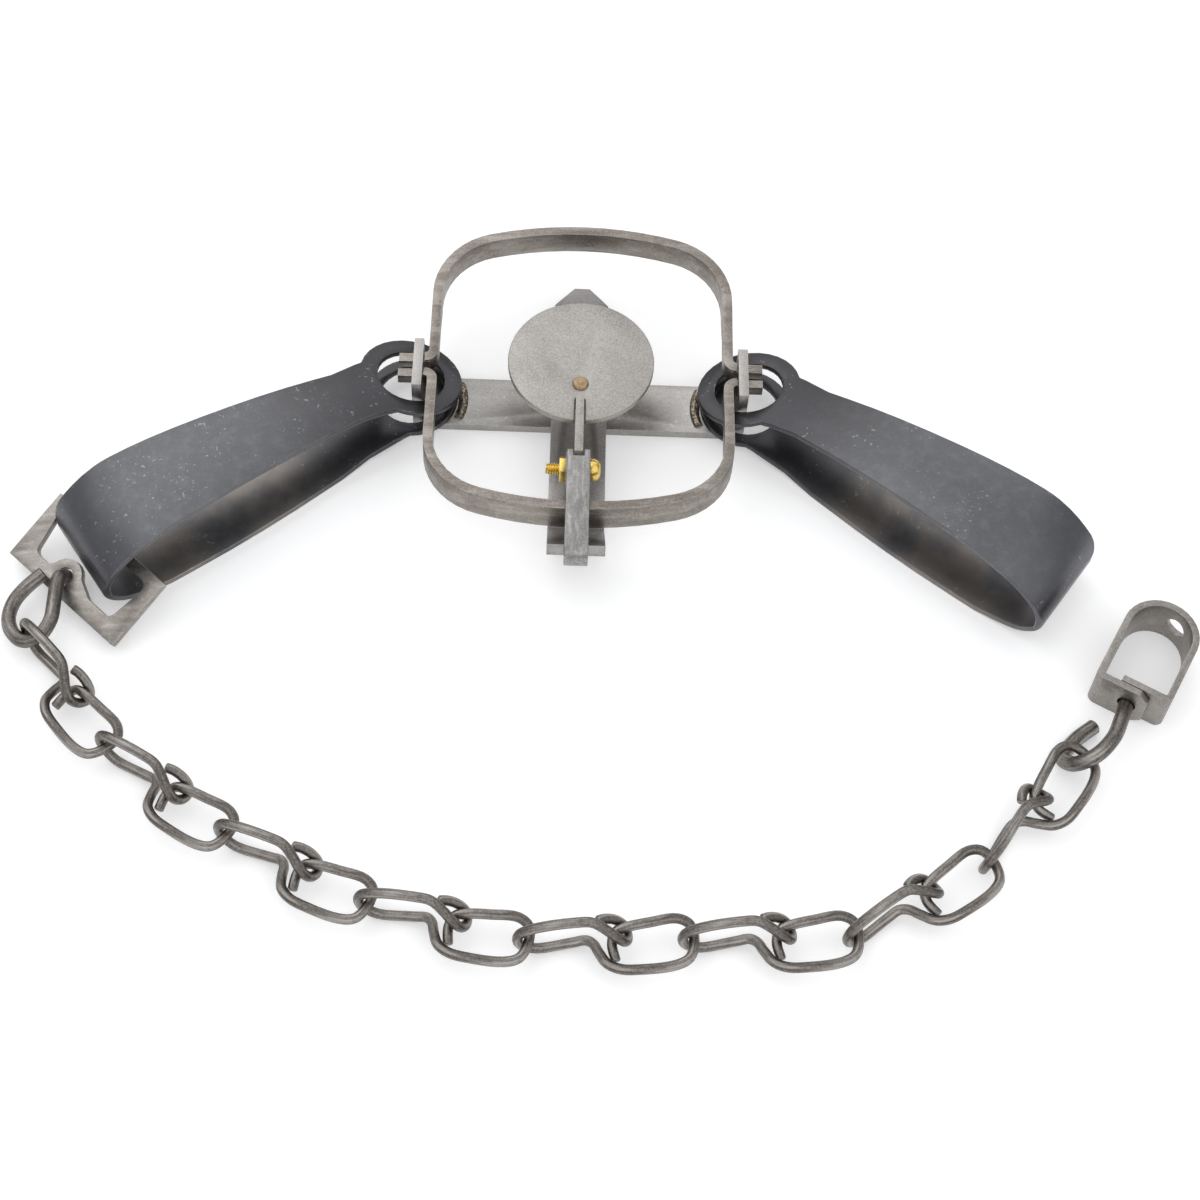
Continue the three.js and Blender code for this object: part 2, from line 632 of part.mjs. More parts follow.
function makePanShank() {
  const rearY = PAN_SLOT_START_Y - RUNNING_GAP;
  const noseZ = SHANK_TOP_Z - SHANK_NOSE_DEPTH;
  const webBottomZ = SHANK_TOP_Z - SHANK_WEB_DEPTH;
  const bossBottomZ = BOLT_Z - SHANK_BOSS_DEPTH_SHARE * SHANK_BOSS_RADIUS;
  const outline = [
    v2(rearY, footBottomZ),
    v2(rearY, SHANK_TOP_Z),
    v2(SHANK_NOSE_Y + SHANK_NOSE_DEPTH / 4, SHANK_TOP_Z),
    v2(SHANK_NOSE_Y, SHANK_TOP_Z - SHANK_NOSE_DEPTH / 3),
    v2(SHANK_NOSE_Y, noseZ),
    v2(BOLT_Y, noseZ - SHANK_NOSE_DEPTH / 2),
    v2(BOLT_Y - SHANK_BOSS_RADIUS, BOLT_Z),
    v2(BOLT_Y - SHANK_BOSS_RADIUS / 2, bossBottomZ),
    v2(BOLT_Y + SHANK_BOSS_RADIUS / 2, bossBottomZ),
    v2(BOLT_Y + SHANK_BOSS_RADIUS, BOLT_Z),
    v2(BOLT_Y + SHANK_WEB_DEPTH, webBottomZ),
  ];
  const plate = solidOf(acrossX(outline.reverse(), SHANK_THICKNESS));
  const footFrontY = rearY - SHANK_THICKNESS;
  const footPlan = rectangle(-FOOT_WIDTH / 2, footFrontY, FOOT_WIDTH / 2, FOOT_REAR_Y);
  const foot = solidOf(slab(footPlan, footBottomZ, footTopZ));
  const solid = plate.add(foot).subtract(panRivetBore()).subtract(boltBore(SHANK_THICKNESS));
  return meshOf("pan_shank", solid, PAN_STEEL);
}

function makePanRivet() {
  const headTopZ = PAN_TOP_Z + PAN_RIVET_HEAD_HEIGHT;
  const tailZ = footBottomZ - PAN_RIVET_HEAD_HEIGHT;
  const profile = [
    v2(0, tailZ),
    v2(PAN_RIVET_HEAD_RADIUS, tailZ),
    v2(PAN_RIVET_HEAD_RADIUS, footBottomZ),
    v2(PAN_RIVET_RADIUS, footBottomZ),
    v2(PAN_RIVET_RADIUS, PAN_TOP_Z),
    v2(PAN_RIVET_HEAD_RADIUS, PAN_TOP_Z),
    v2(PAN_RIVET_CROWN_SHARE * PAN_RIVET_HEAD_RADIUS, headTopZ),
    v2(0, headTopZ),
  ];
  const geometry = new THREE.LatheGeometry(profile, 16).rotateX(Math.PI / 2);
  geometry.translate(0, PAN_RIVET_Y, 0);
  return meshOf("pan_rivet", solidOf(geometry), BRASS);
}

const earOuterX = EAR_INNER_X + EAR_THICKNESS;

function makePanPost() {
  const halfLength = EAR_LENGTH / 2;
  const earCorners = [
    v2(BOLT_Y + halfLength, armTopZ),
    v2(BOLT_Y + halfLength, EAR_TOP_Z),
    v2(BOLT_Y - halfLength, EAR_TOP_Z),
    v2(BOLT_Y - halfLength, armTopZ),
  ];
  const block = solidOf(acrossX(rounded(earCorners, EAR_CORNER_RADIUS), 2 * earOuterX));
  const floorZ = armTopZ + EAR_THICKNESS;
  const slotLow = v2(BOLT_Y - EAR_LENGTH, floorZ);
  const slotHigh = v2(BOLT_Y + EAR_LENGTH, EAR_TOP_Z + CUT_OVERRUN);
  const slot = acrossX(rectangle(slotLow.x, slotLow.y, slotHigh.x, slotHigh.y), 2 * EAR_INNER_X);
  const solid = block.subtract(solidOf(slot)).subtract(boltBore(earOuterX + CUT_OVERRUN));
  return meshOf("pan_post", solid, BASE_STEEL);
}

function makePanBolt() {
  const tail = -(earOuterX + NUT_THICKNESS + BOLT_TAIL);
  const headEnd = earOuterX + BOLT_HEAD_HEIGHT;
  const profile = [
    v2(0, tail),
    v2(BOLT_RADIUS, tail),
    v2(BOLT_RADIUS, earOuterX),
    ...BOLT_HEAD_SHARES.map(([out, up]) => v2(out * BOLT_HEAD_RADIUS, earOuterX + up * BOLT_HEAD_HEIGHT)),
  ];
  const geometry = new THREE.LatheGeometry(profile, 20).rotateZ(-Math.PI / 2);
  const half = BOLT_SLOT_WIDTH / 2;
  const slot = slab(
    rectangle(headEnd - BOLT_SLOT_DEPTH, -half, headEnd + CUT_OVERRUN, half),
    -2 * BOLT_HEAD_RADIUS,
    2 * BOLT_HEAD_RADIUS,
  );
  const solid = solidOf(geometry).subtract(solidOf(slot));
  const bolt = meshOf("pan_bolt", solid, BRASS);
  bolt.position.set(0, BOLT_Y, BOLT_Z);
  return bolt;
}

function makePanNut() {
  const outline = arc(v2(0, 0), NUT_ACROSS_CORNERS / 2, NUT_TURN_DEG, NUT_TURN_DEG + 300, 5);
  const body = solidOf(slab(outline, 0, NUT_THICKNESS));
  const boreTop = v3(0, 0, NUT_THICKNESS + CUT_OVERRUN);
  const bore = rod(BOLT_RADIUS + RUNNING_GAP, v3(0, 0, -CUT_OVERRUN), boreTop, BORE_SIDES);
  const nut = meshOf("pan_nut", body.subtract(solidOf(bore)), BRASS);
  nut.rotation.y = -Math.PI / 2;
  nut.position.set(-earOuterX, BOLT_Y, BOLT_Z);
  return nut;
}

// A leaf's outline from above: the ring, its neck and the widening leaf
function leafPlan(ringRadius, neckHalfWidth, waistHalfWidth, bellyHalfWidth) {
  const endU = SPRING_REACH + CUT_OVERRUN;
  const edge = smoothPath(
    [
      v2(SPRING_REACH - BEND_INSET, BEND_HALF_WIDTH),
      v2(BELLY_REACH_SHARE * SPRING_REACH, bellyHalfWidth),
      v2(WAIST_REACH_SHARE * SPRING_REACH, waistHalfWidth),
      v2(NECK_REACH, neckHalfWidth),
    ],
    6,
  );
  const neckDeg = THREE.MathUtils.radToDeg(Math.asin(neckHalfWidth / ringRadius)) + NECK_BLEND_DEG;
  const ring = arc(v2(0, 0), ringRadius, neckDeg, 360 - neckDeg, 24);
  const cornerCentre = v2(SPRING_REACH - SPRING_END_CORNER, BEND_HALF_WIDTH - SPRING_END_CORNER);
  const corner = arc(cornerCentre, SPRING_END_CORNER, 0, 90, 4);
  const leftEdge = [v2(endU, cornerCentre.y), ...corner, ...edge];
  const rightEdge = leftEdge.map((point) => v2(point.x, -point.y)).reverse();
  return [...leftEdge, ...ring, ...rightEdge];
}

function leafSolid(path, plan) {
  const side = slab(ribbon(path, SPRING_THICKNESS), -2 * BEND_HALF_WIDTH, 2 * BEND_HALF_WIDTH);
  const axes = new THREE.Matrix4().makeBasis(v3(1, 0, 0), v3(0, 0, 1), v3(0, -1, 0));
  side.applyMatrix4(axes);
  const height = 2 * UPPER_CREST_Z;
  const hole = rod(RING_HOLE_RADIUS, v3(0, 0, -CUT_OVERRUN), v3(0, 0, height), 28);
  return solidOf(side)
    .intersect(solidOf(slab(plan, -CUT_OVERRUN, height)))
    .subtract(solidOf(hole));
}

const springSpan = 2 * (RING_CENTRE_X + SPRING_REACH * headingOf(SPRING_SWING_DEG).x);
const halfSpring = SPRING_THICKNESS / 2;
const bendMiddle = SPRING_REACH - halfSpring;

// The upper ring lies in line with the start of its leaf
function upperPath() {
  const ringZ = UPPER_RING_Z + halfSpring;
  const ringSlope = (UPPER_STEP_Z - ringZ) / UPPER_STEP_REACH;
  const innerU = -UPPER_RING_RADIUS - CUT_OVERRUN;
  const leaf = smoothPath(
    [
      v2(UPPER_STEP_REACH, UPPER_STEP_Z),
      v2(UPPER_MID_REACH_SHARE * SPRING_REACH, UPPER_MID_Z),
      v2(UPPER_CREST_REACH_SHARE * SPRING_REACH, UPPER_CREST_Z),
      v2(SPRING_REACH - UPPER_SHOULDER_INSET, UPPER_SHOULDER_Z),
      v2(SPRING_REACH - UPPER_TURN_INSET, UPPER_TURN_Z),
      v2(bendMiddle, SPRING_SPLIT_Z + SPRING_THICKNESS),
    ],
    18,
  );
  const start = v2(innerU, ringZ + innerU * ringSlope);
  return [start, ...leaf, v2(bendMiddle, SPRING_SPLIT_Z + RUNNING_GAP / 2)];
}

function lowerPath() {
  const ringZ = LOWER_RING_Z + halfSpring;
  const turn = smoothPath(
    [
      v2(SPRING_REACH - LOWER_TOE_INSET, halfSpring),
      v2(SPRING_REACH - LOWER_TURN_INSET, LOWER_TURN_Z),
      v2(bendMiddle, SPRING_SPLIT_Z - SPRING_THICKNESS),
    ],
    10,
  );
  const start = [v2(-LOWER_RING_RADIUS - CUT_OVERRUN, ringZ), v2(LOWER_RING_FLAT_REACH, ringZ)];
  const leaf = [v2(LOWER_FOOT_REACH_SHARE * SPRING_REACH, halfSpring), ...turn];
  return [...start, ...leaf, v2(bendMiddle, SPRING_SPLIT_Z - RUNNING_GAP / 2)];
}

function placeSpring(side, lowerName, upperName) {
  const lowerPlan = leafPlan(
    LOWER_RING_RADIUS,
    LOWER_NECK_HALF_WIDTH,
    LOWER_WAIST_HALF_WIDTH,
    LOWER_BELLY_HALF_WIDTH,
  );
  const upperPlan = leafPlan(
    UPPER_RING_RADIUS,
    UPPER_NECK_HALF_WIDTH,
    UPPER_WAIST_HALF_WIDTH,
    UPPER_BELLY_HALF_WIDTH,
  );
  const group = new THREE.Group();
  group.add(meshOf(lowerName, leafSolid(lowerPath(), lowerPlan), BLUED_STEEL));
  group.add(meshOf(upperName, leafSolid(upperPath(), upperPlan), BLUED_STEEL));
  group.position.set(side * RING_CENTRE_X, 0, 0);
  group.rotation.z = side > 0 ? -radians(SPRING_SWING_DEG) : Math.PI + radians(SPRING_SWING_DEG);
  return group;
}

const leftSpring = placeSpring(-1, "left_spring_lower", "left_spring_upper");
const rightSpring = placeSpring(1, "right_spring_lower", "right_spring_upper");

// The bracket lies in its own plane: w along the outer bar, n towards the spring
const bracketFrame = new THREE.Group();
bracketFrame.position.set(SPRING_REACH + BRACKET_CLEAR_REACH, BRACKET_SIDE, BRACKET_Z);
bracketFrame.rotation.order = "ZYX";
bracketFrame.rotation.z = radians(BRACKET_TURN_DEG);
bracketFrame.rotation.x = radians(BRACKET_TILT_DEG);
leftSpring.add(bracketFrame);
leftSpring.updateMatrixWorld(true);

function makeBracket() {
  const halfLength = BRACKET_LENGTH / 2;
  const topN = BRACKET_DEPTH - BRACKET_CROSSBAR_WIDTH;
  const windowCut = flatOf([
    v2(-halfLength + BRACKET_ARM_FOOT_WIDTH, BRACKET_BAR_WIDTH),
    v2(halfLength - BRACKET_ARM_FOOT_WIDTH, BRACKET_BAR_WIDTH),
    v2(halfLength - BRACKET_ARM_WIDTH, topN),
    v2(-halfLength + BRACKET_ARM_WIDTH, topN),
  ]);
  const tongue = flatOf(arc(v2(TONGUE_W, TONGUE_N), TONGUE_RADIUS, 0, 345, 23));
  const shoulder = TONGUE_SHOULDER_SHARE * TONGUE_RADIUS;
  const web = flatOf([
    v2(TONGUE_W - TONGUE_WEB_LEFT, BRACKET_BAR_WIDTH / 2),
    v2(TONGUE_W + TONGUE_WEB_RIGHT, BRACKET_BAR_WIDTH / 2),
    v2(TONGUE_W + shoulder, TONGUE_N + TONGUE_RADIUS / 2),
    v2(TONGUE_W - shoulder, TONGUE_N + TONGUE_RADIUS / 2),
  ]);
  const blank = flatOf(rectangle(-halfLength, 0, halfLength, BRACKET_DEPTH));
  const sharp = blank.subtract(windowCut).add(tongue).add(web);
  const outline = sharp.offset(BRACKET_FILLET, "Round").offset(-BRACKET_FILLET, "Round");
  const holeRadius = HOOK_WIRE_RADIUS + 2 * RUNNING_GAP;
  const hole = flatOf(arc(v2(TONGUE_W, TONGUE_N), holeRadius, 0, 340, 17));
  const plate = outline.subtract(hole).simplify(MERGE_TOLERANCE * BRACKET_LENGTH);
  const solid = plate.extrude(BRACKET_THICKNESS).translate([0, 0, -BRACKET_THICKNESS]);
  return meshOf("chain_bracket", solid, BRACKET_STEEL);
}

// The hook's wire lies on the outer bar, loops out and drops into the tongue's hole.
// Its shares are of the hook's width along w, of its length along n and of the wire's radius upward.
function hookPoints() {
  const points = HOOK_SHARES.map(([across, along, up]) =>
    v3(TONGUE_W + across * HOOK_WIDTH, TONGUE_N + along * HOOK_LENGTH, up * HOOK_WIRE_RADIUS),
  );
  points.push(v3(TONGUE_W, TONGUE_N, -BRACKET_THICKNESS));
  return points;
}

function makeHook() {
  return meshOf("chain_hook", solidOf(wire(hookPoints(), HOOK_WIRE_RADIUS, 36, 8)), WIRE_STEEL);
}

// A link is one wire. From its cut end it curls round its own far side, runs back to an upright
// loop, returns along it, turns through a flatter loop ahead and ends as a stub inside the curl.
// Its shares are of the loops' reach along the chain, and of their half width across and upward.
// The links are as long as it takes for the chain to end just beyond the right spring.
const headingSpans = LINK_HEADINGS_DEG.map((degrees) => headingOf(degrees).x);
const linkPitch = (springSpan + CHAIN_SPARE_SPAN) / headingSpans.reduce((sum, span) => sum + span);
const loopReach = linkPitch / 2 + LINK_WIRE_RADIUS + RUNNING_GAP / 2;

function linkSolid(rollDeg) {
  const roll = radians(rollDeg);
  const across = v3(0, Math.cos(roll), Math.sin(roll)).multiplyScalar(LINK_HALF_WIDTH);
  const upward = v3(0, -Math.sin(roll), Math.cos(roll)).multiplyScalar(LINK_HALF_WIDTH);
  const points = LINK_SHARES.map(([ahead, aside, up]) =>
    v3(ahead * loopReach, 0, 0).addScaledVector(across, aside).addScaledVector(upward, up),
  );
  return solidOf(wire(points, LINK_WIRE_RADIUS, LINK_STEPS, WIRE_SIDES));
}

// The first link hangs in the hook's bight
function chainStart() {
  const path = new THREE.CatmullRomCurve3(hookPoints(), false, "centripetal");
  const bight = path.getPoint(HOOK_BIGHT_SHARE).applyMatrix4(bracketFrame.matrixWorld);
  bight.addScaledVector(headingOf(LINK_HEADINGS_DEG[0]), -(HOOK_WIRE_RADIUS + 3 * RUNNING_GAP));
  return v3(bight.x, bight.y, 0);
}

function placeChain() {
  const chain = new THREE.Group();
  let joint = chainStart();
  LINK_HEADINGS_DEG.forEach((headingDeg, i) => {
    const heading = headingOf(headingDeg);
    const isLast = i === LINK_HEADINGS_DEG.length - 1;
    const rollDeg = isLast ? LAST_LINK_ROLL_DEG : LINK_ROLL_DEG;
    const link = meshOf("link_" + (i + 1), linkSolid(rollDeg), WIRE_STEEL);
    link.position.copy(joint).addScaledVector(heading, linkPitch / 2);
    link.position.z = LINK_KNOT_Z;
    link.rotation.z = radians(headingDeg);
    chain.add(link);
    joint = joint.clone().addScaledVector(heading, linkPitch);
  });
  return [chain, joint];
}

// The eye's bight lies in the last link's loop
function placeSwivel(joint) {
  const clear = (LINK_WIRE_RADIUS + EYE_WIRE_RADIUS) / 2 + 3 * RUNNING_GAP;
  const lastHeading = headingOf(LINK_HEADINGS_DEG[LINK_HEADINGS_DEG.length - 1]);
  const bight = joint.clone().addScaledVector(lastHeading, -clear);
  const along = headingOf(SWIVEL_HEADING_DEG);
  const left = v3(-along.y, along.x, 0);
  const swivel = new THREE.Group();
  swivel.position.copy(bight).addScaledVector(along, EYE_REACH).addScaledVector(left, -EYE_OFFSET);
  swivel.rotation.z = radians(SWIVEL_HEADING_DEG);
  swivel.add(makeEye(), makeStrap());
  return swivel;
}

// Shares of the eye's reach and sideways offset, and of the climb from the rod to the hump
function makeEye() {
  const rise = EYE_HUMP_Z - EYE_ROD_Z;
  const lapInner = 1.5 * STRAP_THICKNESS + RUNNING_GAP;
  const points = [
    v3(lapInner + EYE_HEAD_LENGTH / 2, 0, EYE_ROD_Z),
    v3(0, 0, EYE_ROD_Z),
    ...EYE_HUMP_SHARES.map(([back, left, up]) =>
      v3(-back * EYE_REACH, left * EYE_OFFSET, EYE_ROD_Z + up * rise),
    ),
    v3(-EYE_REACH, EYE_OFFSET, (EYE_HUMP_Z + EYE_TAIL_Z) / 2),
    ...EYE_TAIL_SHARES.map(([back, left]) => v3(-back * EYE_REACH, left * EYE_OFFSET, EYE_TAIL_Z)),
  ];
  const head = rod(
    EYE_HEAD_RADIUS,
    v3(lapInner + RUNNING_GAP, 0, EYE_ROD_Z),
    v3(lapInner + RUNNING_GAP + EYE_HEAD_LENGTH, 0, EYE_ROD_Z),
    14,
  );
  const solid = solidOf(wire(points, EYE_WIRE_RADIUS, 32, 8)).add(solidOf(head));
  return meshOf("swivel_eye", solid, WIRE_STEEL);
}

function makeStrap() {
  const innerX = STRAP_THICKNESS + RUNNING_GAP;
  const side = STRAP_HALF_WIDTH;
  const outerLap = rounded(
    [v2(0, -STRAP_OUTER_LAP), v2(0, side), v2(STRAP_LEG_LENGTH, side)],
    STRAP_CORNER_RADIUS,
  );
  const arch = arc(v2(STRAP_LEG_LENGTH, 0), side, 90, -90, 16).slice(1, -1);
  const innerLap = rounded(
    [v2(STRAP_LEG_LENGTH, -side), v2(innerX, -side), v2(innerX, STRAP_INNER_LAP)],
    STRAP_CORNER_RADIUS,
  );
  const outline = ribbon([...outerLap, ...arch, ...innerLap], STRAP_THICKNESS);
  let solid = solidOf(slab(outline, 0, STRAP_HEIGHT));
  const rodHole = rod(
    EYE_WIRE_RADIUS + 2 * RUNNING_GAP,
    v3(-CUT_OVERRUN, 0, EYE_ROD_Z),
    v3(innerX + CUT_OVERRUN, 0, EYE_ROD_Z),
  );
  solid = solid.subtract(solidOf(rodHole));
  const direction = headingOf(STRAP_HOLE_DEG);
  const archCentre = v3(STRAP_LEG_LENGTH, 0, STRAP_HEIGHT / 2);
  const stakeHole = rod(
    STRAP_HOLE_RADIUS,
    archCentre.clone().addScaledVector(direction, side - CUT_OVERRUN),
    archCentre.clone().addScaledVector(direction, side + CUT_OVERRUN),
  );
  solid = solid.subtract(solidOf(stakeHole));
  for (const [cornerZ, inward] of [
    [0, 1],
    [STRAP_HEIGHT, -1],
  ]) {
    const clip = [
      v2(-STRAP_OUTER_LAP - CUT_OVERRUN, cornerZ - inward * CUT_OVERRUN),
      v2(-STRAP_OUTER_LAP + STRAP_CLIP, cornerZ - inward * CUT_OVERRUN),
      v2(-STRAP_OUTER_LAP + STRAP_CLIP, cornerZ),
      v2(-STRAP_OUTER_LAP, cornerZ + inward * STRAP_CLIP),
      v2(-STRAP_OUTER_LAP - CUT_OVERRUN, cornerZ + inward * STRAP_CLIP),
    ];
    const cutter = acrossX(inward > 0 ? clip : clip.reverse(), STRAP_THICKNESS + RUNNING_GAP);
    solid = solid.subtract(solidOf(cutter));
  }
  return meshOf("swivel_strap", solid, STRAP_STEEL);
}

trap.add(makeBaseCross(), makeBaseArm(), makeFrameRivet());
trap.add(makeWeldBead("left_weld_bead", -1), makeWeldBead("right_weld_bead", 1));
trap.add(placeJaw("front_jaw", -1), placeJaw("rear_jaw", 1), makeDog());
trap.add(makePan(), makePanShank(), makePanRivet(), makePanPost(), makePanBolt(), makePanNut());
trap.add(leftSpring, rightSpring);
bracketFrame.add(makeBracket(), makeHook());
const [chain, chainEnd] = placeChain();
trap.add(chain, placeSwivel(chainEnd));

export default trap;
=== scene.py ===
import json
import math
from collections import namedtuple
from math import cos, pi, radians, sin

import bmesh
import bpy
from mathutils import Matrix, Vector, noise

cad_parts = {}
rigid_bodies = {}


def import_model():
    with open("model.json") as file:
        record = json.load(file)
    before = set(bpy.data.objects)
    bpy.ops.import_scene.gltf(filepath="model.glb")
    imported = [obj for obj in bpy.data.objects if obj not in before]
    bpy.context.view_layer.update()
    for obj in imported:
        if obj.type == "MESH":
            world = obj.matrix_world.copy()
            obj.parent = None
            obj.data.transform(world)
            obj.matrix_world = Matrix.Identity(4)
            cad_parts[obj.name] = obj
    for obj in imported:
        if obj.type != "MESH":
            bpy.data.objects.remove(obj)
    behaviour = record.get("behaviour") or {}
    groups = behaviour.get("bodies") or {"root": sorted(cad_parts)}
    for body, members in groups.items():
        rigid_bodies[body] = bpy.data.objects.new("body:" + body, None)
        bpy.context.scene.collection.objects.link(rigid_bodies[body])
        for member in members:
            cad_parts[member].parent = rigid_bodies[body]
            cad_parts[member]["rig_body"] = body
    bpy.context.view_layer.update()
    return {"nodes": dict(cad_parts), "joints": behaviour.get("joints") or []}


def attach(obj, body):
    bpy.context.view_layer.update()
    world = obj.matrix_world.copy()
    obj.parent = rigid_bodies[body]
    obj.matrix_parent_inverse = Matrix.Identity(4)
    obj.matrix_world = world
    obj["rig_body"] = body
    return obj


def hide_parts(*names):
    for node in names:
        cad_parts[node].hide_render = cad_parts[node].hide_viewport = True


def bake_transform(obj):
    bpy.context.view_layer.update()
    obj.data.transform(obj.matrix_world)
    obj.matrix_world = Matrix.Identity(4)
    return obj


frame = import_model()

# The camera, as fitted to the photograph. Lengths are in metres throughout.
MM = 0.001
PHOTO_WIDTH_PX = 1200
FOCAL_PX = 2326.6
SENSOR_WIDTH_MM = 36
CENTRE_SHIFT_X_PX = 21.4
CENTRE_SHIFT_Y_PX = -189.1
CAMERA_PLACE = Vector((-7.8, -432.7, 611.0)) * MM
CAMERA_AZIMUTH_DEG = 1.028
CAMERA_ELEVATION_DEG = 54.689
CAMERA_ROLL_DEG = 2.829
CLIP_START = 10 * MM

# Turns are made as four by four matrices
MATRIX_SIZE = 4

# Edges of sheet and strip: which are rounded, how far, and which are still sharp after that
SHEET_EDGE = 0.35 * MM
FINE_EDGE = 0.2 * MM
EDGE_STEPS = 2
EDGE_PROFILE = 0.5
SHARP_DEG = 32
SOFTENED_SHARP_DEG = 50
ROUND_SHARP_DEG = 40
WELD_DISTANCE = 0.002 * MM
DISSOLVE_DEG = 0.6

# The bent end of each spring, where its two halves meet
SPLIT_REACH = 0.4 * MM
SPLIT_WELD_DISTANCE = 0.02 * MM

# A chain link is one wire, knotted at its middle. Its points are shares of the loops' reach along
# the chain, and of their half width across and upward.
LINK_COUNT = 8
LINK_WIRE = 1.45 * MM
LINK_RUNNING_GAP = 0.3 * MM
LINK_HALF_WIDTH = 6.75 * MM
LINK_ROLL_DEG = 2
LAST_LINK_ROLL_DEG = 10
LINK_SHARES = [
    (-0.097, 0.65, 0.39),
    (-0.004, 0.8, 0.21),
    (0.109, 0.86, -0.06),
    (0.206, 0.76, -0.37),
    (0.248, 0.45, -0.46),
    (0.248, 0.09, -0.24),
    (0.206, -0.13, 0.13),
    (0.109, -0.07, 0.49),
    (-0.008, 0.15, 0.73),
    (-0.16, 0.37, 0.92),
    (-0.379, 0.33, 1),
    (-0.779, 0.13, 0.98),
    (-0.952, 0.07, 0.58),
    (-1, 0.04, 0),
    (-0.952, 0.01, -0.58),
    (-0.779, 0.01, -0.98),
    (-0.379, 0.24, -0.98),
    (-0.219, 0.27, -0.8),
    (-0.135, 0.03, -0.58),
    (-0.076, -0.44, -0.33),
    (0.013, -0.98, -0.09),
    (0.16, -1.24, 0),
    (0.379, -1.26, 0),
    (0.783, -1.08, 0),
    (0.943, -0.77, 0),
    (1, -0.06, 0),
    (0.96, 0.62, 0),
    (0.817, 0.89, 0),
    (0.505, 0.73, 0),
    (0.236, 0.52, 0),
    (0.109, 0.34, -0.09),
    (0.072, -0.09, -0.25),
    (0.114, -0.8, -0.39),
]
LINK_STEPS = 5

# All wires: the chamfer of their cut ends, the sides of their section, and the attribute that
# keeps each point's place on the wire as it was before bending
CUT_CHAMFER = 0.35 * MM
WIRE_SIDES = 14
STRAIGHT = "straight_place"

# The hook, in the bracket's own plane: w along the outer bar, n towards the spring
BRACKET_PLACE = Vector((-154.03, -78.99, 5)) * MM
BRACKET_HEADING_DEG = -41.2
BRACKET_TILT_DEG = 22
BRACKET_THICKNESS = 2.5 * MM
TONGUE_W = -3.7 * MM
TONGUE_N = 5.8 * MM
HOOK_WIRE = 2.2 * MM
HOOK_STEPS = 8
HOOK_LENGTH = 24 * MM
HOOK_WIDTH = 16 * MM
HOOK_SHARES = [
    (-0.29, -0.13, 1.14),
    (-0.33, -0.38, 1.7),
    (-0.31, -0.62, 2),
    (-0.12, -0.81, 2.7),
    (0.2, -0.9, 3.5),
    (0.54, -0.87, 4),
    (0.68, -0.69, 3.6),
    (0.58, -0.49, 2.7),
    (0.33, -0.29, 2.1),
    (0.12, -0.13, 1.65),
    (0.02, -0.04, 1.2),
    (0, 0, 0),
]

# The bolt's thread, on the tail that shows beyond the nut
THREAD_RADIUS = 1.95 * MM
THREAD_ROOT_RADIUS = 1.45 * MM
THREAD_PITCH = 0.75 * MM
THREAD_SIDES = 32
THREAD_RINGS_PER_TURN = 8
THREAD_FADE_TURNS = 2
THREAD_FIRST_TURNS = 0.5

# Weld beads: how finely they are cut up, and how far their skin ripples
WELD_CUTS = 2
WELD_RIPPLE = 0.35 * MM
WELD_RIPPLE_SCALE = 900
WELD_SHARP_DEG = 60

# The swivel's eye: x along its rod into the strap, y to its left
EYE_WIRE = 2.25 * MM
EYE_REACH = 27 * MM
EYE_OFFSET = 5.2 * MM
EYE_RISE = 4.9 * MM
EYE_TAIL_DROP = 4.5 * MM
EYE_HUMP_SHARES = [(0.28, -0.15, 0.5), (0.6, -0.23, 1), (0.88, 0.15, 1)]
EYE_TAIL_SHARES = [(0.9, 1.8), (0.64, 1.6), (0.36, 1)]
EYE_HEAD_START = 3.6 * MM
EYE_HEAD_LENGTH = 2.4 * MM
EYE_HEAD_RADIUS = 3.7 * MM
EYE_HEAD_FACE_RADIUS = 2.2 * MM
EYE_HEAD_EDGE = 0.5 * MM
EYE_HEAD_SIDES = 32


# Mesh helpers
def new_piece(name, bm):
    mesh = bpy.data.meshes.new(name)
    bm.to_mesh(mesh)
    bm.free()
    piece = bpy.data.objects.new(name, mesh)
    bpy.context.scene.collection.objects.link(piece)
    return piece


def node_mesh(*nodes):
    bm = bmesh.new()
    for node in nodes:
        bm.from_mesh(frame["nodes"][node].data)
    bmesh.ops.remove_doubles(bm, verts=bm.verts, dist=WELD_DISTANCE)
    return bm


def shade(bm, sharp_deg):
    bm.normal_update()
    for face in bm.faces:
        face.smooth = True
    for edge in bm.edges:
        edge.smooth = len(edge.link_faces) == 2 and edge.calc_face_angle() < radians(sharp_deg)


def soften(bm, width):
    bmesh.ops.dissolve_limit(bm, angle_limit=radians(DISSOLVE_DEG), verts=bm.verts, edges=bm.edges)
    edges = [
        edge
        for edge in bm.edges
        if len(edge.link_faces) == 2 and edge.calc_face_angle() > radians(SHARP_DEG)
    ]
    bmesh.ops.bevel(
        bm,
        geom=edges,
        offset=width,
        offset_type="OFFSET",
        segments=EDGE_STEPS,
        profile=EDGE_PROFILE,
        affect="EDGES",
        clamp_overlap=True,
    )
    shade(bm, SOFTENED_SHARP_DEG)


def joint_named(name):
    return next(joint for joint in frame["joints"] if joint["name"] == name)


def joint_place(name):
    return Vector(joint_named(name)["pos_m"])


# A mesh that stands for one rigid node and rides on its body
def node_piece(node, bm):
    piece = new_piece(node + "_shaped", bm)
    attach(piece, frame["nodes"][node]["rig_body"])
    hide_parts(node)
    return piece


# A rigid node with its edges rounded
def softened(node, width):
    bm = node_mesh(node)
    soften(bm, width)
    return node_piece(node, bm)


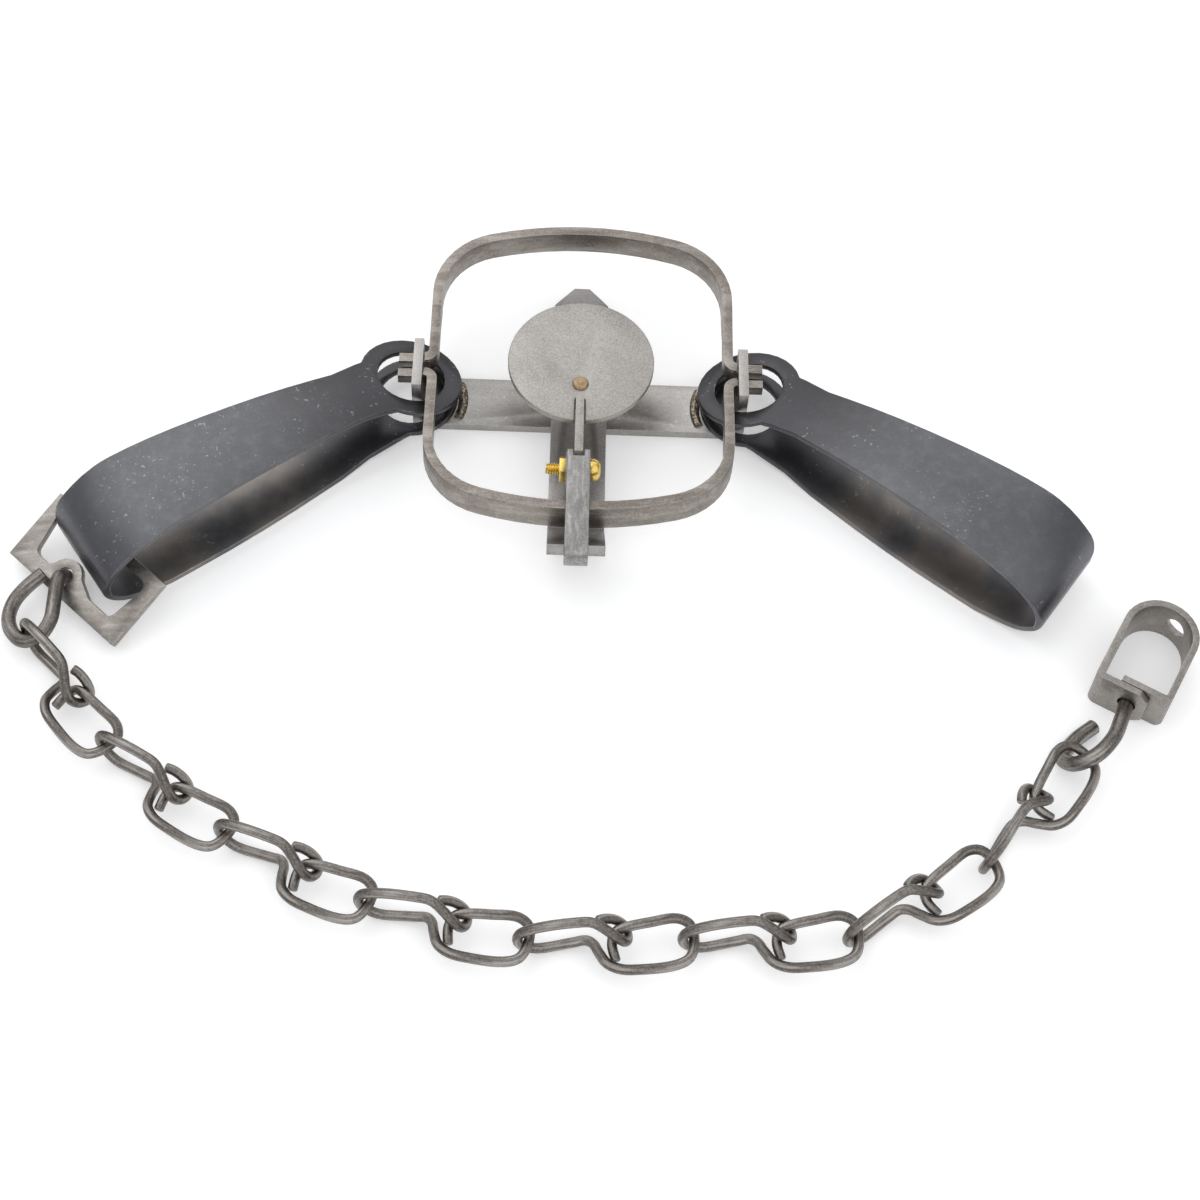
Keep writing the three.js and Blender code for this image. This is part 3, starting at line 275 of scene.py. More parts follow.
# Both halves of a spring as one bent strip
def spring(side):
    lower = side + "_spring_lower"
    upper = side + "_spring_upper"
    hinge = joint_place(side + "_spring_flex")
    bm = node_mesh(lower, upper)
    at_split = [vert for vert in bm.verts if abs(vert.co.z - hinge.z) < SPLIT_REACH]
    for vert in at_split:
        vert.co.z = hinge.z
    held = set(at_split)
    caps = [face for face in bm.faces if all(vert in held for vert in face.verts)]
    bmesh.ops.delete(bm, geom=caps, context="FACES")
    bmesh.ops.remove_doubles(bm, verts=bm.verts, dist=SPLIT_WELD_DISTANCE)
    soften(bm, SHEET_EDGE)
    piece = new_piece(side + "_spring_strip", bm)
    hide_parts(lower, upper)
    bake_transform(piece)
    return piece


# A closed skin over rings of points, as a new piece
def closed_rings(name, bm, rings):
    for lower, upper in zip(rings, rings[1:]):
        for side in range(len(lower)):
            after = (side + 1) % len(lower)
            bm.faces.new((lower[side], lower[after], upper[after], upper[side]))
    bm.faces.new(rings[0][::-1])
    bm.faces.new(rings[-1])
    bmesh.ops.recalc_face_normals(bm, faces=bm.faces)
    shade(bm, ROUND_SHARP_DEG)
    return new_piece(name, bm)


# A smooth line through the points. Each point's time is the square root of its distance from the
# one before, so that the line doesn't loop between points that are close together.
def smooth_line(points, steps):
    before = points[0] * 2 - points[1]
    beyond = points[-1] * 2 - points[-2]
    ends = [before, *points, beyond]
    line = []
    for a, b, c, d in zip(ends, ends[1:], ends[2:], ends[3:]):
        t1 = math.sqrt((b - a).length)
        t2 = t1 + math.sqrt((c - b).length)
        t3 = t2 + math.sqrt((d - c).length)
        for step in range(steps):
            t = t1 + (t2 - t1) * step / steps
            ab = a.lerp(b, t / t1)
            bc = b.lerp(c, (t - t1) / (t2 - t1))
            cd = c.lerp(d, (t - t2) / (t3 - t2))
            abc = ab.lerp(bc, t / t2)
            bcd = bc.lerp(cd, (t - t1) / (t3 - t1))
            line.append(abc.lerp(bcd, (t - t1) / (t2 - t1)))
    line.append(points[-1].copy())
    return line


# Rings round a line, each turned as little as can be from the one before. Each point also keeps
# its place on the straight wire: along it, and in its section.
def tube_rings(bm, line, radii):
    straight = bm.verts.layers.float_vector.new(STRAIGHT)
    aside = (line[1] - line[0]).orthogonal()
    along = 0
    rings = []
    for i, (place, radius) in enumerate(zip(line, radii)):
        ahead = (line[min(i + 1, len(line) - 1)] - line[max(i - 1, 0)]).normalized()
        aside = (aside - ahead * aside.dot(ahead)).normalized()
        upward = ahead.cross(aside)
        ring = []
        for side in range(WIRE_SIDES):
            angle = 2 * pi * side / WIRE_SIDES
            offset = aside * cos(angle) + upward * sin(angle)
            vert = bm.verts.new(place + offset * radius)
            vert[straight] = Vector((along, radius * cos(angle), radius * sin(angle)))
            ring.append(vert)
        rings.append(ring)
        if i + 1 < len(line):
            along += (line[i + 1] - place).length
    return rings


# A round wire with its cut ends chamfered
def wire_piece(name, points, steps, radius, body, matrix):
    line = smooth_line(points, steps)
    first = line[0].lerp(line[1], CUT_CHAMFER / (line[1] - line[0]).length)
    last = line[-1].lerp(line[-2], CUT_CHAMFER / (line[-2] - line[-1]).length)
    line = [line[0], first, *line[1:-1], last, line[-1]]
    tip = radius - CUT_CHAMFER
    radii = [tip, *[radius] * (len(line) - 2), tip]
    bm = bmesh.new()
    piece = closed_rings(name, bm, tube_rings(bm, line, radii))
    piece.matrix_world = matrix
    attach(piece, body)
    return piece


def link(number, last):
    start = joint_place(f"link_{number}_swing")
    end = joint_place("swivel_eye_swing" if last else f"link_{number + 1}_swing")
    heading = (end - start).normalized()
    turn = Matrix.Rotation(math.atan2(heading.y, heading.x), MATRIX_SIZE, "Z")
    matrix = Matrix.Translation((start + end) / 2) @ turn
    roll = radians(LAST_LINK_ROLL_DEG if last else LINK_ROLL_DEG)
    across = Vector((0, cos(roll), sin(roll))) * LINK_HALF_WIDTH
    upward = Vector((0, -sin(roll), cos(roll))) * LINK_HALF_WIDTH
    reach = (end - start).length / 2 + LINK_WIRE + LINK_RUNNING_GAP / 2
    points = [
        Vector((ahead * reach, 0, 0)) + across * aside + upward * up
        for ahead, aside, up in LINK_SHARES
    ]
    name = f"link_{number}"
    piece = wire_piece(name + "_wire", points, LINK_STEPS, LINK_WIRE, name, matrix)
    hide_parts(name)
    return piece


def hook():
    matrix = (
        Matrix.Translation(BRACKET_PLACE)
        @ Matrix.Rotation(radians(BRACKET_HEADING_DEG), MATRIX_SIZE, "Z")
        @ Matrix.Rotation(radians(BRACKET_TILT_DEG), MATRIX_SIZE, "X")
    )
    points = [
        Vector((TONGUE_W + across * HOOK_WIDTH, TONGUE_N + along * HOOK_LENGTH, up * HOOK_WIRE))
        for across, along, up in HOOK_SHARES
    ]
    points.append(Vector((TONGUE_W, TONGUE_N, -BRACKET_THICKNESS)))
    piece = wire_piece("chain_hook_wire", points, HOOK_STEPS, HOOK_WIRE, "chain_hook", matrix)
    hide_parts("chain_hook")
    return piece


def eye():
    axis = Vector(joint_named("swivel_turn")["axis"])
    matrix = (
        Matrix.Translation(joint_place("swivel_turn"))
        @ Matrix.Rotation(math.atan2(axis.y, axis.x), MATRIX_SIZE, "Z")
    )
    points = [Vector((EYE_HEAD_START, 0, 0)), Vector((0, 0, 0))]
    for back, left, up in EYE_HUMP_SHARES:
        points.append(Vector((-back * EYE_REACH, left * EYE_OFFSET, up * EYE_RISE)))
    points.append(Vector((-EYE_REACH, EYE_OFFSET, (EYE_RISE - EYE_TAIL_DROP) / 2)))
    for back, left in EYE_TAIL_SHARES:
        points.append(Vector((-back * EYE_REACH, left * EYE_OFFSET, -EYE_TAIL_DROP)))
    piece = wire_piece("swivel_eye_wire", points, HOOK_STEPS, EYE_WIRE, "swivel_eye", matrix)
    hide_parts("swivel_eye")
    return piece, matrix


# The eye's rod is headed inside the strap. Each ring of the head has a radius and a place along.
def eye_head(matrix):
    end = EYE_HEAD_START + EYE_HEAD_LENGTH
    profile = [
        (EYE_HEAD_RADIUS - EYE_HEAD_EDGE, EYE_HEAD_START),
        (EYE_HEAD_RADIUS, EYE_HEAD_START + EYE_HEAD_EDGE),
        (EYE_HEAD_RADIUS, end - 2 * EYE_HEAD_EDGE),
        (EYE_HEAD_RADIUS - EYE_HEAD_EDGE, end - EYE_HEAD_EDGE),
        (EYE_HEAD_FACE_RADIUS, end),
    ]
    bm = bmesh.new()
    rings = []
    for radius, along in profile:
        ring = []
        for side in range(EYE_HEAD_SIDES):
            angle = 2 * pi * side / EYE_HEAD_SIDES
            place = Vector((along, radius * cos(angle), radius * sin(angle)))
            ring.append(bm.verts.new(matrix @ place))
        rings.append(ring)
    piece = closed_rings("swivel_eye_head", bm, rings)
    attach(piece, "swivel_eye")
    return piece


# The bolt, cut off one turn inside its nut, where its threaded tail takes over
def bolt():
    bm = node_mesh("pan_bolt")
    tail = min(vert.co.x for vert in bm.verts)
    nut_face = min(vert.co.x for vert in frame["nodes"]["pan_nut"].data.vertices)
    for vert in bm.verts:
        if vert.co.x < tail + WELD_DISTANCE:
            vert.co.x = nut_face + THREAD_PITCH
    soften(bm, FINE_EDGE)
    centre = joint_place("pan_tilt")
    start = Vector((tail, centre.y, centre.z))
    return [node_piece("pan_bolt", bm), thread(start, nut_face + THREAD_PITCH / 2 - tail)]


# A screw thread along x, fading out at its free end
def thread(start, length):
    ring_count = round(length / THREAD_PITCH * THREAD_RINGS_PER_TURN)
    depth = THREAD_RADIUS - THREAD_ROOT_RADIUS
    bm = bmesh.new()
    rings = []
    for step in range(ring_count + 1):
        along = length * step / ring_count
        fade = min(1, (along / THREAD_PITCH + THREAD_FIRST_TURNS) / THREAD_FADE_TURNS)
        ring = []
        for side in range(THREAD_SIDES):
            share = side / THREAD_SIDES
            phase = (along / THREAD_PITCH - share) % 1
            crest = 1 - abs(2 * phase - 1)
            radius = THREAD_ROOT_RADIUS + depth * crest * fade
            angle = 2 * pi * share
            offset = Vector((along, radius * cos(angle), radius * sin(angle)))
            ring.append(bm.verts.new(start + offset))
        rings.append(ring)
    piece = closed_rings("pan_bolt_thread", bm, rings)
    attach(piece, frame["nodes"]["pan_bolt"]["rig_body"])
    return piece


# A weld bead with a rippled skin
def weld_bead(node):
    bm = node_mesh(node)
    bmesh.ops.triangulate(bm, faces=bm.faces)
    bmesh.ops.subdivide_edges(bm, edges=bm.edges, cuts=WELD_CUTS, use_grid_fill=True)
    bm.normal_update()
    floor_z = min(vert.co.z for vert in bm.verts)
    moves = []
    for vert in bm.verts:
        if vert.co.z > floor_z + WELD_DISTANCE:
            moves.append((vert, vert.normal * noise.noise(vert.co * WELD_RIPPLE_SCALE)))
    for vert, move in moves:
        vert.co += move * WELD_RIPPLE
    shade(bm, WELD_SHARP_DEG)
    return node_piece(node, bm)


# Materials. A pattern of noise has a scale in waves per metre, a detail, a roughness, and the two
# levels between which it fades in.
Pattern = namedtuple("Pattern", "scale detail rough low high")
BLOTCHES = Pattern(60, 4, 0.55, 0.36, 0.66)
CLOUDS = Pattern(240, 5, 0.65, 0.42, 0.7)
CLOUDS_OF_MOTTLE_SHARE = 0.5
PALE_GRAIN = Pattern(1700, 3, 0.55, 0.45, 0.62)
DARK_GRAIN = PALE_GRAIN._replace(low=0.52, high=0.36)
PITS = Pattern(700, 2, 0.55, 0.64, 0.7)
NICKS = Pattern(850, 1, 0.55, 0.66, 0.7)
NICKED_PLACES = Pattern(90, 2, 0.55, 0.5, 0.62)
EDGE_WEAR_AND_HIGHLIGHT_PLACES = Pattern(300, 4, 0.55, 0.35, 0.6)

# Streaks and scratches are noise drawn out: their scale is given for each axis, with a turn in
# radians
PALE_STREAKS = Pattern(1, 3, 0.6, 0.5, 0.66)
DARK_STREAKS = PALE_STREAKS._replace(low=0.48, high=0.34)
LONG_SCRATCHES = Pattern(1, 3, 0.6, 0.68, 0.75)
LONG_SCRATCH_SCALES = (2600, 90, 2600)
LONG_SCRATCH_TURN = (0.2, 0.1, 0.5)
CROSS_SCRATCHES = Pattern(1, 3, 0.6, 0.7, 0.77)
CROSS_SCRATCH_SCALES = (120, 3000, 3000)
CROSS_SCRATCH_TURN = (0.1, 0.3, 0.35)

# Lightened edges, where the rounded normal leaves the plain one: partly wear from rubbing,
# partly a painted highlight
EDGE_WEAR_AND_HIGHLIGHT_RADIUS = 0.6 * MM
EDGE_SAMPLES = 4
EDGE_FLAT_COSINE = 0.995
EDGE_TURNED_COSINE = 0.8

# How the grain varies the roughness, and how deep the marks are
ROUGHNESS_SPREAD = 0.2
GRAIN_RELIEF_SHARE = 0.5
RELIEF_STRENGTH = 0.3
RELIEF_DEPTH = 0.05 * MM

# The Mix node's sockets for colours
MIX_FACTOR = 0
MIX_FIRST = 6
MIX_SECOND = 7
MIX_COLOUR = 2

# The standard curve from a written colour value to a linear one
SRGB_TOP = 255
SRGB_STRAIGHT_END = 0.04045
SRGB_STRAIGHT_SLOPE = 12.92
SRGB_OFFSET = 0.055
SRGB_POWER = 2.4


def srgb(red, green, blue):
    def linear(value):
        share = value / SRGB_TOP
        if share <= SRGB_STRAIGHT_END:
            return share / SRGB_STRAIGHT_SLOPE
        return ((share + SRGB_OFFSET) / (1 + SRGB_OFFSET)) ** SRGB_POWER

    return (linear(red), linear(green), linear(blue), 1)


class Graph:
    def __init__(self, name, attribute=None):
        self.material = bpy.data.materials.new(name)
        self.material.use_nodes = True
        self.tree = self.material.node_tree
        self.shader = self.tree.nodes["Principled BSDF"]
        if attribute:
            source = self.add("ShaderNodeAttribute")
            source.attribute_name = attribute
            self.place = source.outputs["Vector"]
        else:
            self.place = self.add("ShaderNodeTexCoord").outputs["Object"]

    def add(self, kind, **inputs):
        node = self.tree.nodes.new(kind)
        for key, value in inputs.items():
            self.set(node.inputs[key], value)
        return node

    def set(self, socket, value):
        if isinstance(value, bpy.types.NodeSocket):
            self.tree.links.new(value, socket)
        else:
            socket.default_value = value

    def stretched(self, scales, turn=(0, 0, 0)):
        node = self.add("ShaderNodeMapping", Vector=self.place, Scale=scales, Rotation=turn)
        return node.outputs["Vector"]

    def noise(self, pattern, vector=None):
        node = self.add(
            "ShaderNodeTexNoise",
            Vector=vector or self.place,
            Scale=pattern.scale,
            Detail=pattern.detail,
            Roughness=pattern.rough,
        )
        return node.outputs["Fac"]

    def parts(self):
        return self.add("ShaderNodeSeparateXYZ", Vector=self.place).outputs

    def fade(self, value, low, high):
        node = self.add("ShaderNodeMapRange", Value=value)
        node.clamp = True
        node.interpolation_type = "SMOOTHSTEP"
        node.inputs["From Min"].default_value = low
        node.inputs["From Max"].default_value = high
        return node.outputs["Result"]

    def faded(self, level, pattern):
        return self.fade(level, pattern.low, pattern.high)

    def spots(self, pattern):
        return self.faded(self.noise(pattern), pattern)

    def mix(self, share, first, second):
        node = self.tree.nodes.new("ShaderNodeMix")
        node.data_type = "RGBA"
        self.set(node.inputs[MIX_FACTOR], share)
        self.set(node.inputs[MIX_FIRST], first)
        self.set(node.inputs[MIX_SECOND], second)
        return node.outputs[MIX_COLOUR]

    def math(self, operation, *values):
        node = self.tree.nodes.new("ShaderNodeMath")
        node.operation = operation
        for socket, value in zip(node.inputs, values):
            self.set(socket, value)
        return node.outputs[0]

    def times(self, first, second):
        return self.math("MULTIPLY", first, second)

    # How far the surface turns near an edge, from a rounded normal
    def edge(self):
        rounded = self.add("ShaderNodeBevel", Radius=EDGE_WEAR_AND_HIGHLIGHT_RADIUS)
        rounded.samples = EDGE_SAMPLES
        plain = self.add("ShaderNodeNewGeometry").outputs["Normal"]
        product = self.tree.nodes.new("ShaderNodeVectorMath")
        product.operation = "DOT_PRODUCT"
        self.tree.links.new(rounded.outputs["Normal"], product.inputs[0])
        self.tree.links.new(plain, product.inputs[1])
        return self.fade(product.outputs["Value"], EDGE_FLAT_COSINE, EDGE_TURNED_COSINE)

    def bump(self, height):
        node = self.add(
            "ShaderNodeBump", Height=height, Strength=RELIEF_STRENGTH, Distance=RELIEF_DEPTH
        )
        self.tree.links.new(node.outputs["Normal"], self.shader.inputs["Normal"])


# A worked metal. Its colour is mottled broadly and finely, tinted where a piece is given a tint
# (on the springs it holds painted shade and painted light), and marked by drawing streaks,
# scratches, dark pits, pale nicks and lightened edges, each as strong as its share says. The
# lightened edges are partly wear from rubbing and partly a painted highlight. The streaks are drawn
# out along the axis with the smallest scale.
def steel(
    name, colour, dark, light, roughness,
    mottle=0.4, grain=0.3, streak=0, streak_scales=None,
    scratch=0.35, pit=0.35, nick=0.2, edge=0.45, tint=None, attribute=None,
):
    graph = Graph(name, attribute)
    base = graph.mix(graph.times(graph.spots(BLOTCHES), mottle), colour, dark)
    cloud_share = mottle * CLOUDS_OF_MOTTLE_SHARE
    base = graph.mix(graph.times(graph.spots(CLOUDS), cloud_share), base, light)
    fine = graph.noise(PALE_GRAIN)
    base = graph.mix(graph.times(graph.faded(fine, PALE_GRAIN), grain), base, light)
    base = graph.mix(graph.times(graph.faded(fine, DARK_GRAIN), grain), base, dark)
    if tint:
        base = tint(graph, base)
    if streak:
        lines = graph.noise(PALE_STREAKS, graph.stretched(streak_scales))
        base = graph.mix(graph.times(graph.faded(lines, PALE_STREAKS), streak), base, light)
        base = graph.mix(graph.times(graph.faded(lines, DARK_STREAKS), streak), base, dark)
    along = graph.noise(LONG_SCRATCHES, graph.stretched(LONG_SCRATCH_SCALES, LONG_SCRATCH_TURN))
    across = graph.noise(CROSS_SCRATCHES, graph.stretched(CROSS_SCRATCH_SCALES, CROSS_SCRATCH_TURN))
    marks = graph.math(
        "MAXIMUM", graph.faded(along, LONG_SCRATCHES), graph.faded(across, CROSS_SCRATCHES)
    )
    base = graph.mix(graph.times(marks, scratch), base, light)
    pits = graph.spots(PITS)
    base = graph.mix(graph.times(pits, pit), base, dark)
    nicks = graph.times(graph.spots(NICKS), graph.spots(NICKED_PLACES))
    base = graph.mix(graph.times(nicks, nick), base, light)
    # Lightened edges: partly wear from rubbing, partly a painted highlight
    rubbed_and_highlit = graph.times(graph.edge(), graph.spots(EDGE_WEAR_AND_HIGHLIGHT_PLACES))
    base = graph.mix(graph.times(rubbed_and_highlit, edge), base, light)
    graph.set(graph.shader.inputs["Base Color"], base)
    graph.shader.inputs["Metallic"].default_value = 1
    lowest = roughness - ROUGHNESS_SPREAD / 2
    worn = graph.math("MULTIPLY_ADD", fine, ROUGHNESS_SPREAD, lowest)
    graph.set(graph.shader.inputs["Roughness"], worn)
    relief = graph.math("ADD", graph.times(fine, GRAIN_RELIEF_SHARE), graph.times(marks, scratch))
    graph.bump(graph.math("SUBTRACT", relief, graph.times(pits, pit)))
    return graph.material


# The long springs, by how far out along the leaf: dark at the rings; painted shade at the bend,
# standing in for the dark reflection of its turn; and a browner belly below, also painted lighter
# as painted light. Each pair of places is where a tint starts and where it is full.
SPRING_SWING_DEG = 35.6
RING_DARK = srgb(66, 65, 68)
RING_DARK_REACHES = (104 * MM, 56 * MM)
RING_DARK_SHARE = 0.8
# Painted shade: a dark blue-grey at the bend, standing in for the dark reflection of its turn
BEND_PAINTED_SHADE = srgb(82, 82, 88)
BEND_PAINTED_SHADE_REACHES = (140 * MM, 150 * MM)
BEND_PAINTED_SHADE_SHARE = 0.5
# Partly a brown tint, partly painted light that brightens the belly where it mirrors the dark leaf
BELLY_BROWN_AND_PAINTED_LIGHT = srgb(142, 135, 128)
BELLY_REACHES = (74 * MM, 94 * MM)
BELLY_HEIGHTS = (15 * MM, 7 * MM)
BELLY_SHARE = 0.8
BELLY_CLOUDS = Pattern(45, 3, 0.55, 0.35, 0.6)


def spring_tint_and_painted_light(graph, base):
    x, y, z = graph.parts()
    swing = radians(SPRING_SWING_DEG)
    outward = graph.times(graph.math("ABSOLUTE", x), cos(swing))
    reach = graph.math("SUBTRACT", outward, graph.times(y, sin(swing)))
    cloud = graph.spots(BELLY_CLOUDS)
    near_ring = graph.fade(reach, *RING_DARK_REACHES)
    bend_painted_shade = graph.fade(reach, *BEND_PAINTED_SHADE_REACHES)
    belly = graph.times(graph.fade(reach, *BELLY_REACHES), graph.fade(z, *BELLY_HEIGHTS))
    # The belly: brown tint, and painted light
    base = graph.mix(graph.times(graph.times(belly, cloud), BELLY_SHARE), base, BELLY_BROWN_AND_PAINTED_LIGHT)
    base = graph.mix(graph.times(near_ring, RING_DARK_SHARE), base, RING_DARK)
    # Painted shade at the bend
    return graph.mix(graph.times(bend_painted_shade, BEND_PAINTED_SHADE_SHARE), base, BEND_PAINTED_SHADE)


CROSS_STEEL = steel(
    "cross_steel",
    colour=srgb(172, 169, 165),
    dark=srgb(134, 130, 126),
    light=srgb(206, 204, 201),
    roughness=0.42,
    grain=0.18,
    nick=0.5,
)
ARM_STEEL = steel(
    "arm_steel",
    colour=srgb(154, 151, 149),
    dark=srgb(118, 115, 113),
    light=srgb(194, 192, 190),
    roughness=0.42,
    grain=0.18,
)
DOG_STEEL = steel(
    "dog_steel",
    colour=srgb(140, 138, 136),
    dark=srgb(112, 110, 109),
    light=srgb(206, 205, 202),
    roughness=0.4,
    mottle=0.2,
    grain=0.12,
    streak=0.3,
    streak_scales=(900, 45, 900),
    scratch=0.5,
    edge=0.9,
)
WELD_STEEL = steel(
    "weld_steel",
    colour=srgb(134, 118, 98),
    dark=srgb(70, 58, 46),
    light=srgb(204, 196, 180),
    roughness=0.48,
    mottle=0.7,
    grain=0.7,
    pit=0.7,
    nick=0.8,
)
JAW_STEEL = steel(
    "jaw_steel",
    colour=srgb(136, 129, 122),
    dark=srgb(98, 90, 82),
    light=srgb(188, 183, 177),
    roughness=0.42,
    mottle=0.5,
    grain=0.2,
    streak=0.3,
    streak_scales=(30, 300, 300),
    scratch=0.4,
    edge=0.7,
)
PAN_STEEL = steel(
    "pan_steel",
    colour=srgb(166, 162, 157),
    dark=srgb(128, 124, 118),
    light=srgb(204, 202, 198),
    roughness=0.5,
    mottle=0.5,
    grain=0.25,
    edge=0.3,
)
SPRING_STEEL = steel(
    "blued_steel",
    colour=srgb(101, 101, 103),
    dark=srgb(88, 89, 91),
    light=srgb(190, 194, 198),
    roughness=0.38,
    mottle=0.12,
    grain=0.03,
    scratch=0.1,
    pit=0.1,
    nick=0.3,
    edge=0.8,
    tint=spring_tint_and_painted_light,
)
BRACKET_STEEL = steel(
    "bracket_steel",
    colour=srgb(156, 150, 144),
    dark=srgb(112, 104, 96),
    light=srgb(204, 201, 196),
    roughness=0.45,
    grain=0.12,
    streak=0.35,
    streak_scales=(60, 420, 420),
    scratch=0.5,
    pit=0.2,
)
CHAIN_LOOK = {
    "colour": srgb(118, 113, 108),
    "dark": srgb(66, 60, 55),
    "light": srgb(178, 173, 168),
    "roughness": 0.4,
    "mottle": 0.35,
}
WIRE_STEEL = steel(
    "wire_steel",
    **CHAIN_LOOK,
    grain=0.2,
    streak=0.6,
    streak_scales=(60, 900, 900),
    pit=0.3,
    attribute=STRAIGHT,
)
HEAD_STEEL = steel("head_steel", **CHAIN_LOOK)
STRAP_STEEL = steel(
    "strap_steel",
    colour=srgb(146, 141, 136),
    dark=srgb(108, 101, 95),
    light=srgb(206, 203, 199),
    roughness=0.42,
    grain=0.15,
)
BRASS = steel(
    "brass",
    colour=srgb(236, 204, 110),
    dark=srgb(168, 130, 48),
    light=srgb(254, 240, 182),
    roughness=0.28,
    mottle=0.3,
    grain=0.15,
    pit=0.15,
)
RIVET_BRASS = steel(
    "rivet_brass",
    colour=srgb(158, 134, 104),
    dark=srgb(104, 80, 56),
    light=srgb(200, 182, 150),
    roughness=0.45,
    mottle=0.8,
)


# A piece wears one material
def dress(piece, material):
    piece.data.materials.clear()
    piece.data.materials.append(material)


# Pieces
dress(softened("base_cross", SHEET_EDGE), CROSS_STEEL)
dress(softened("base_arm", SHEET_EDGE), ARM_STEEL)
dress(softened("pan_post", SHEET_EDGE), ARM_STEEL)
dress(softened("dog", SHEET_EDGE), DOG_STEEL)
dress(softened("frame_rivet", FINE_EDGE), CROSS_STEEL)
for node in ("left_weld_bead", "right_weld_bead"):
    dress(weld_bead(node), WELD_STEEL)
for node in ("front_jaw", "rear_jaw"):
    dress(softened(node, SHEET_EDGE), JAW_STEEL)
for node in ("pan", "pan_shank"):
    dress(softened(node, SHEET_EDGE), PAN_STEEL)
dress(softened("pan_rivet", FINE_EDGE), RIVET_BRASS)
dress(softened("pan_nut", FINE_EDGE), BRASS)
for piece in bolt():
    dress(piece, BRASS)
for side in ("left", "right"):
    dress(spring(side), SPRING_STEEL)
dress(softened("chain_bracket", SHEET_EDGE), BRACKET_STEEL)
dress(hook(), WIRE_STEEL)
for number in range(1, LINK_COUNT + 1):
    dress(link(number, number == LINK_COUNT), WIRE_STEEL)
eye_wire, eye_matrix = eye()
dress(eye_wire, WIRE_STEEL)
dress(eye_head(eye_matrix), HEAD_STEEL)
dress(softened("swivel_strap", SHEET_EDGE), STRAP_STEEL)


# Floor, world and lamps
FLOOR_REACH = 60
FLOOR_COLOUR = (0.8, 0.8, 0.8, 1)
FLOOR_GLOW = 0.3
HORIZON_STRENGTH = 0.5
HORIZON_HEIGHT_SHARE = 0.05
OVERHEAD_STRENGTH = 0.9
OVERHEAD_HEIGHT_SHARE = 0.75
DOME_COLOUR = (0.97, 0.98, 1.0, 1)
LAMPS = {
    "key": {"place": (-0.7, 0.5, 1.2), "aim": (0, 0, 0), "size": (1.6, 1.6), "power": 6},
    "fill": {"place": (0.9, -0.6, 1.0), "aim": (0, -0.05, 0), "size": (1.6, 1.6), "power": 3.5},
    "rear": {"place": (0.1, 1.2, 0.7), "aim": (0, 0, 0), "size": (1.8, 0.8), "power": 3},
    "front": {"place": (-0.2, -1.4, 0.8), "aim": (0, 0, 0), "size": (1.2, 0.5), "power": 2.5},
}


# The floor's own glow is seen by the eye, by metal and through glass, and lights nothing
def floor():
    bm = bmesh.new()
    bmesh.ops.create_grid(bm, x_segments=1, y_segments=1, size=FLOOR_REACH)
    piece = new_piece("floor", bm)
    material = bpy.data.materials.new("floor")
    material.use_nodes = True
    nodes = material.node_tree.nodes
    links = material.node_tree.links
    nodes.clear()
    path = nodes.new("ShaderNodeLightPath")
    seen = path.outputs["Is Camera Ray"]
    for ray in ("Is Glossy Ray", "Is Transmission Ray"):
        either = nodes.new("ShaderNodeMath")
        either.operation = "MAXIMUM"
        links.new(seen, either.inputs[0])
        links.new(path.outputs[ray], either.inputs[1])
        seen = either.outputs[0]
    strength = nodes.new("ShaderNodeMath")
    strength.operation = "MULTIPLY"
    strength.inputs[1].default_value = FLOOR_GLOW
    links.new(seen, strength.inputs[0])
    glow = nodes.new("ShaderNodeEmission")
    links.new(strength.outputs[0], glow.inputs["Strength"])
    plain = nodes.new("ShaderNodeBsdfDiffuse")
    plain.inputs["Color"].default_value = FLOOR_COLOUR
    total = nodes.new("ShaderNodeAddShader")
    links.new(plain.outputs[0], total.inputs[0])
    links.new(glow.outputs[0], total.inputs[1])
    output = nodes.new("ShaderNodeOutputMaterial")
    links.new(total.outputs[0], output.inputs["Surface"])
    piece.data.materials.append(material)


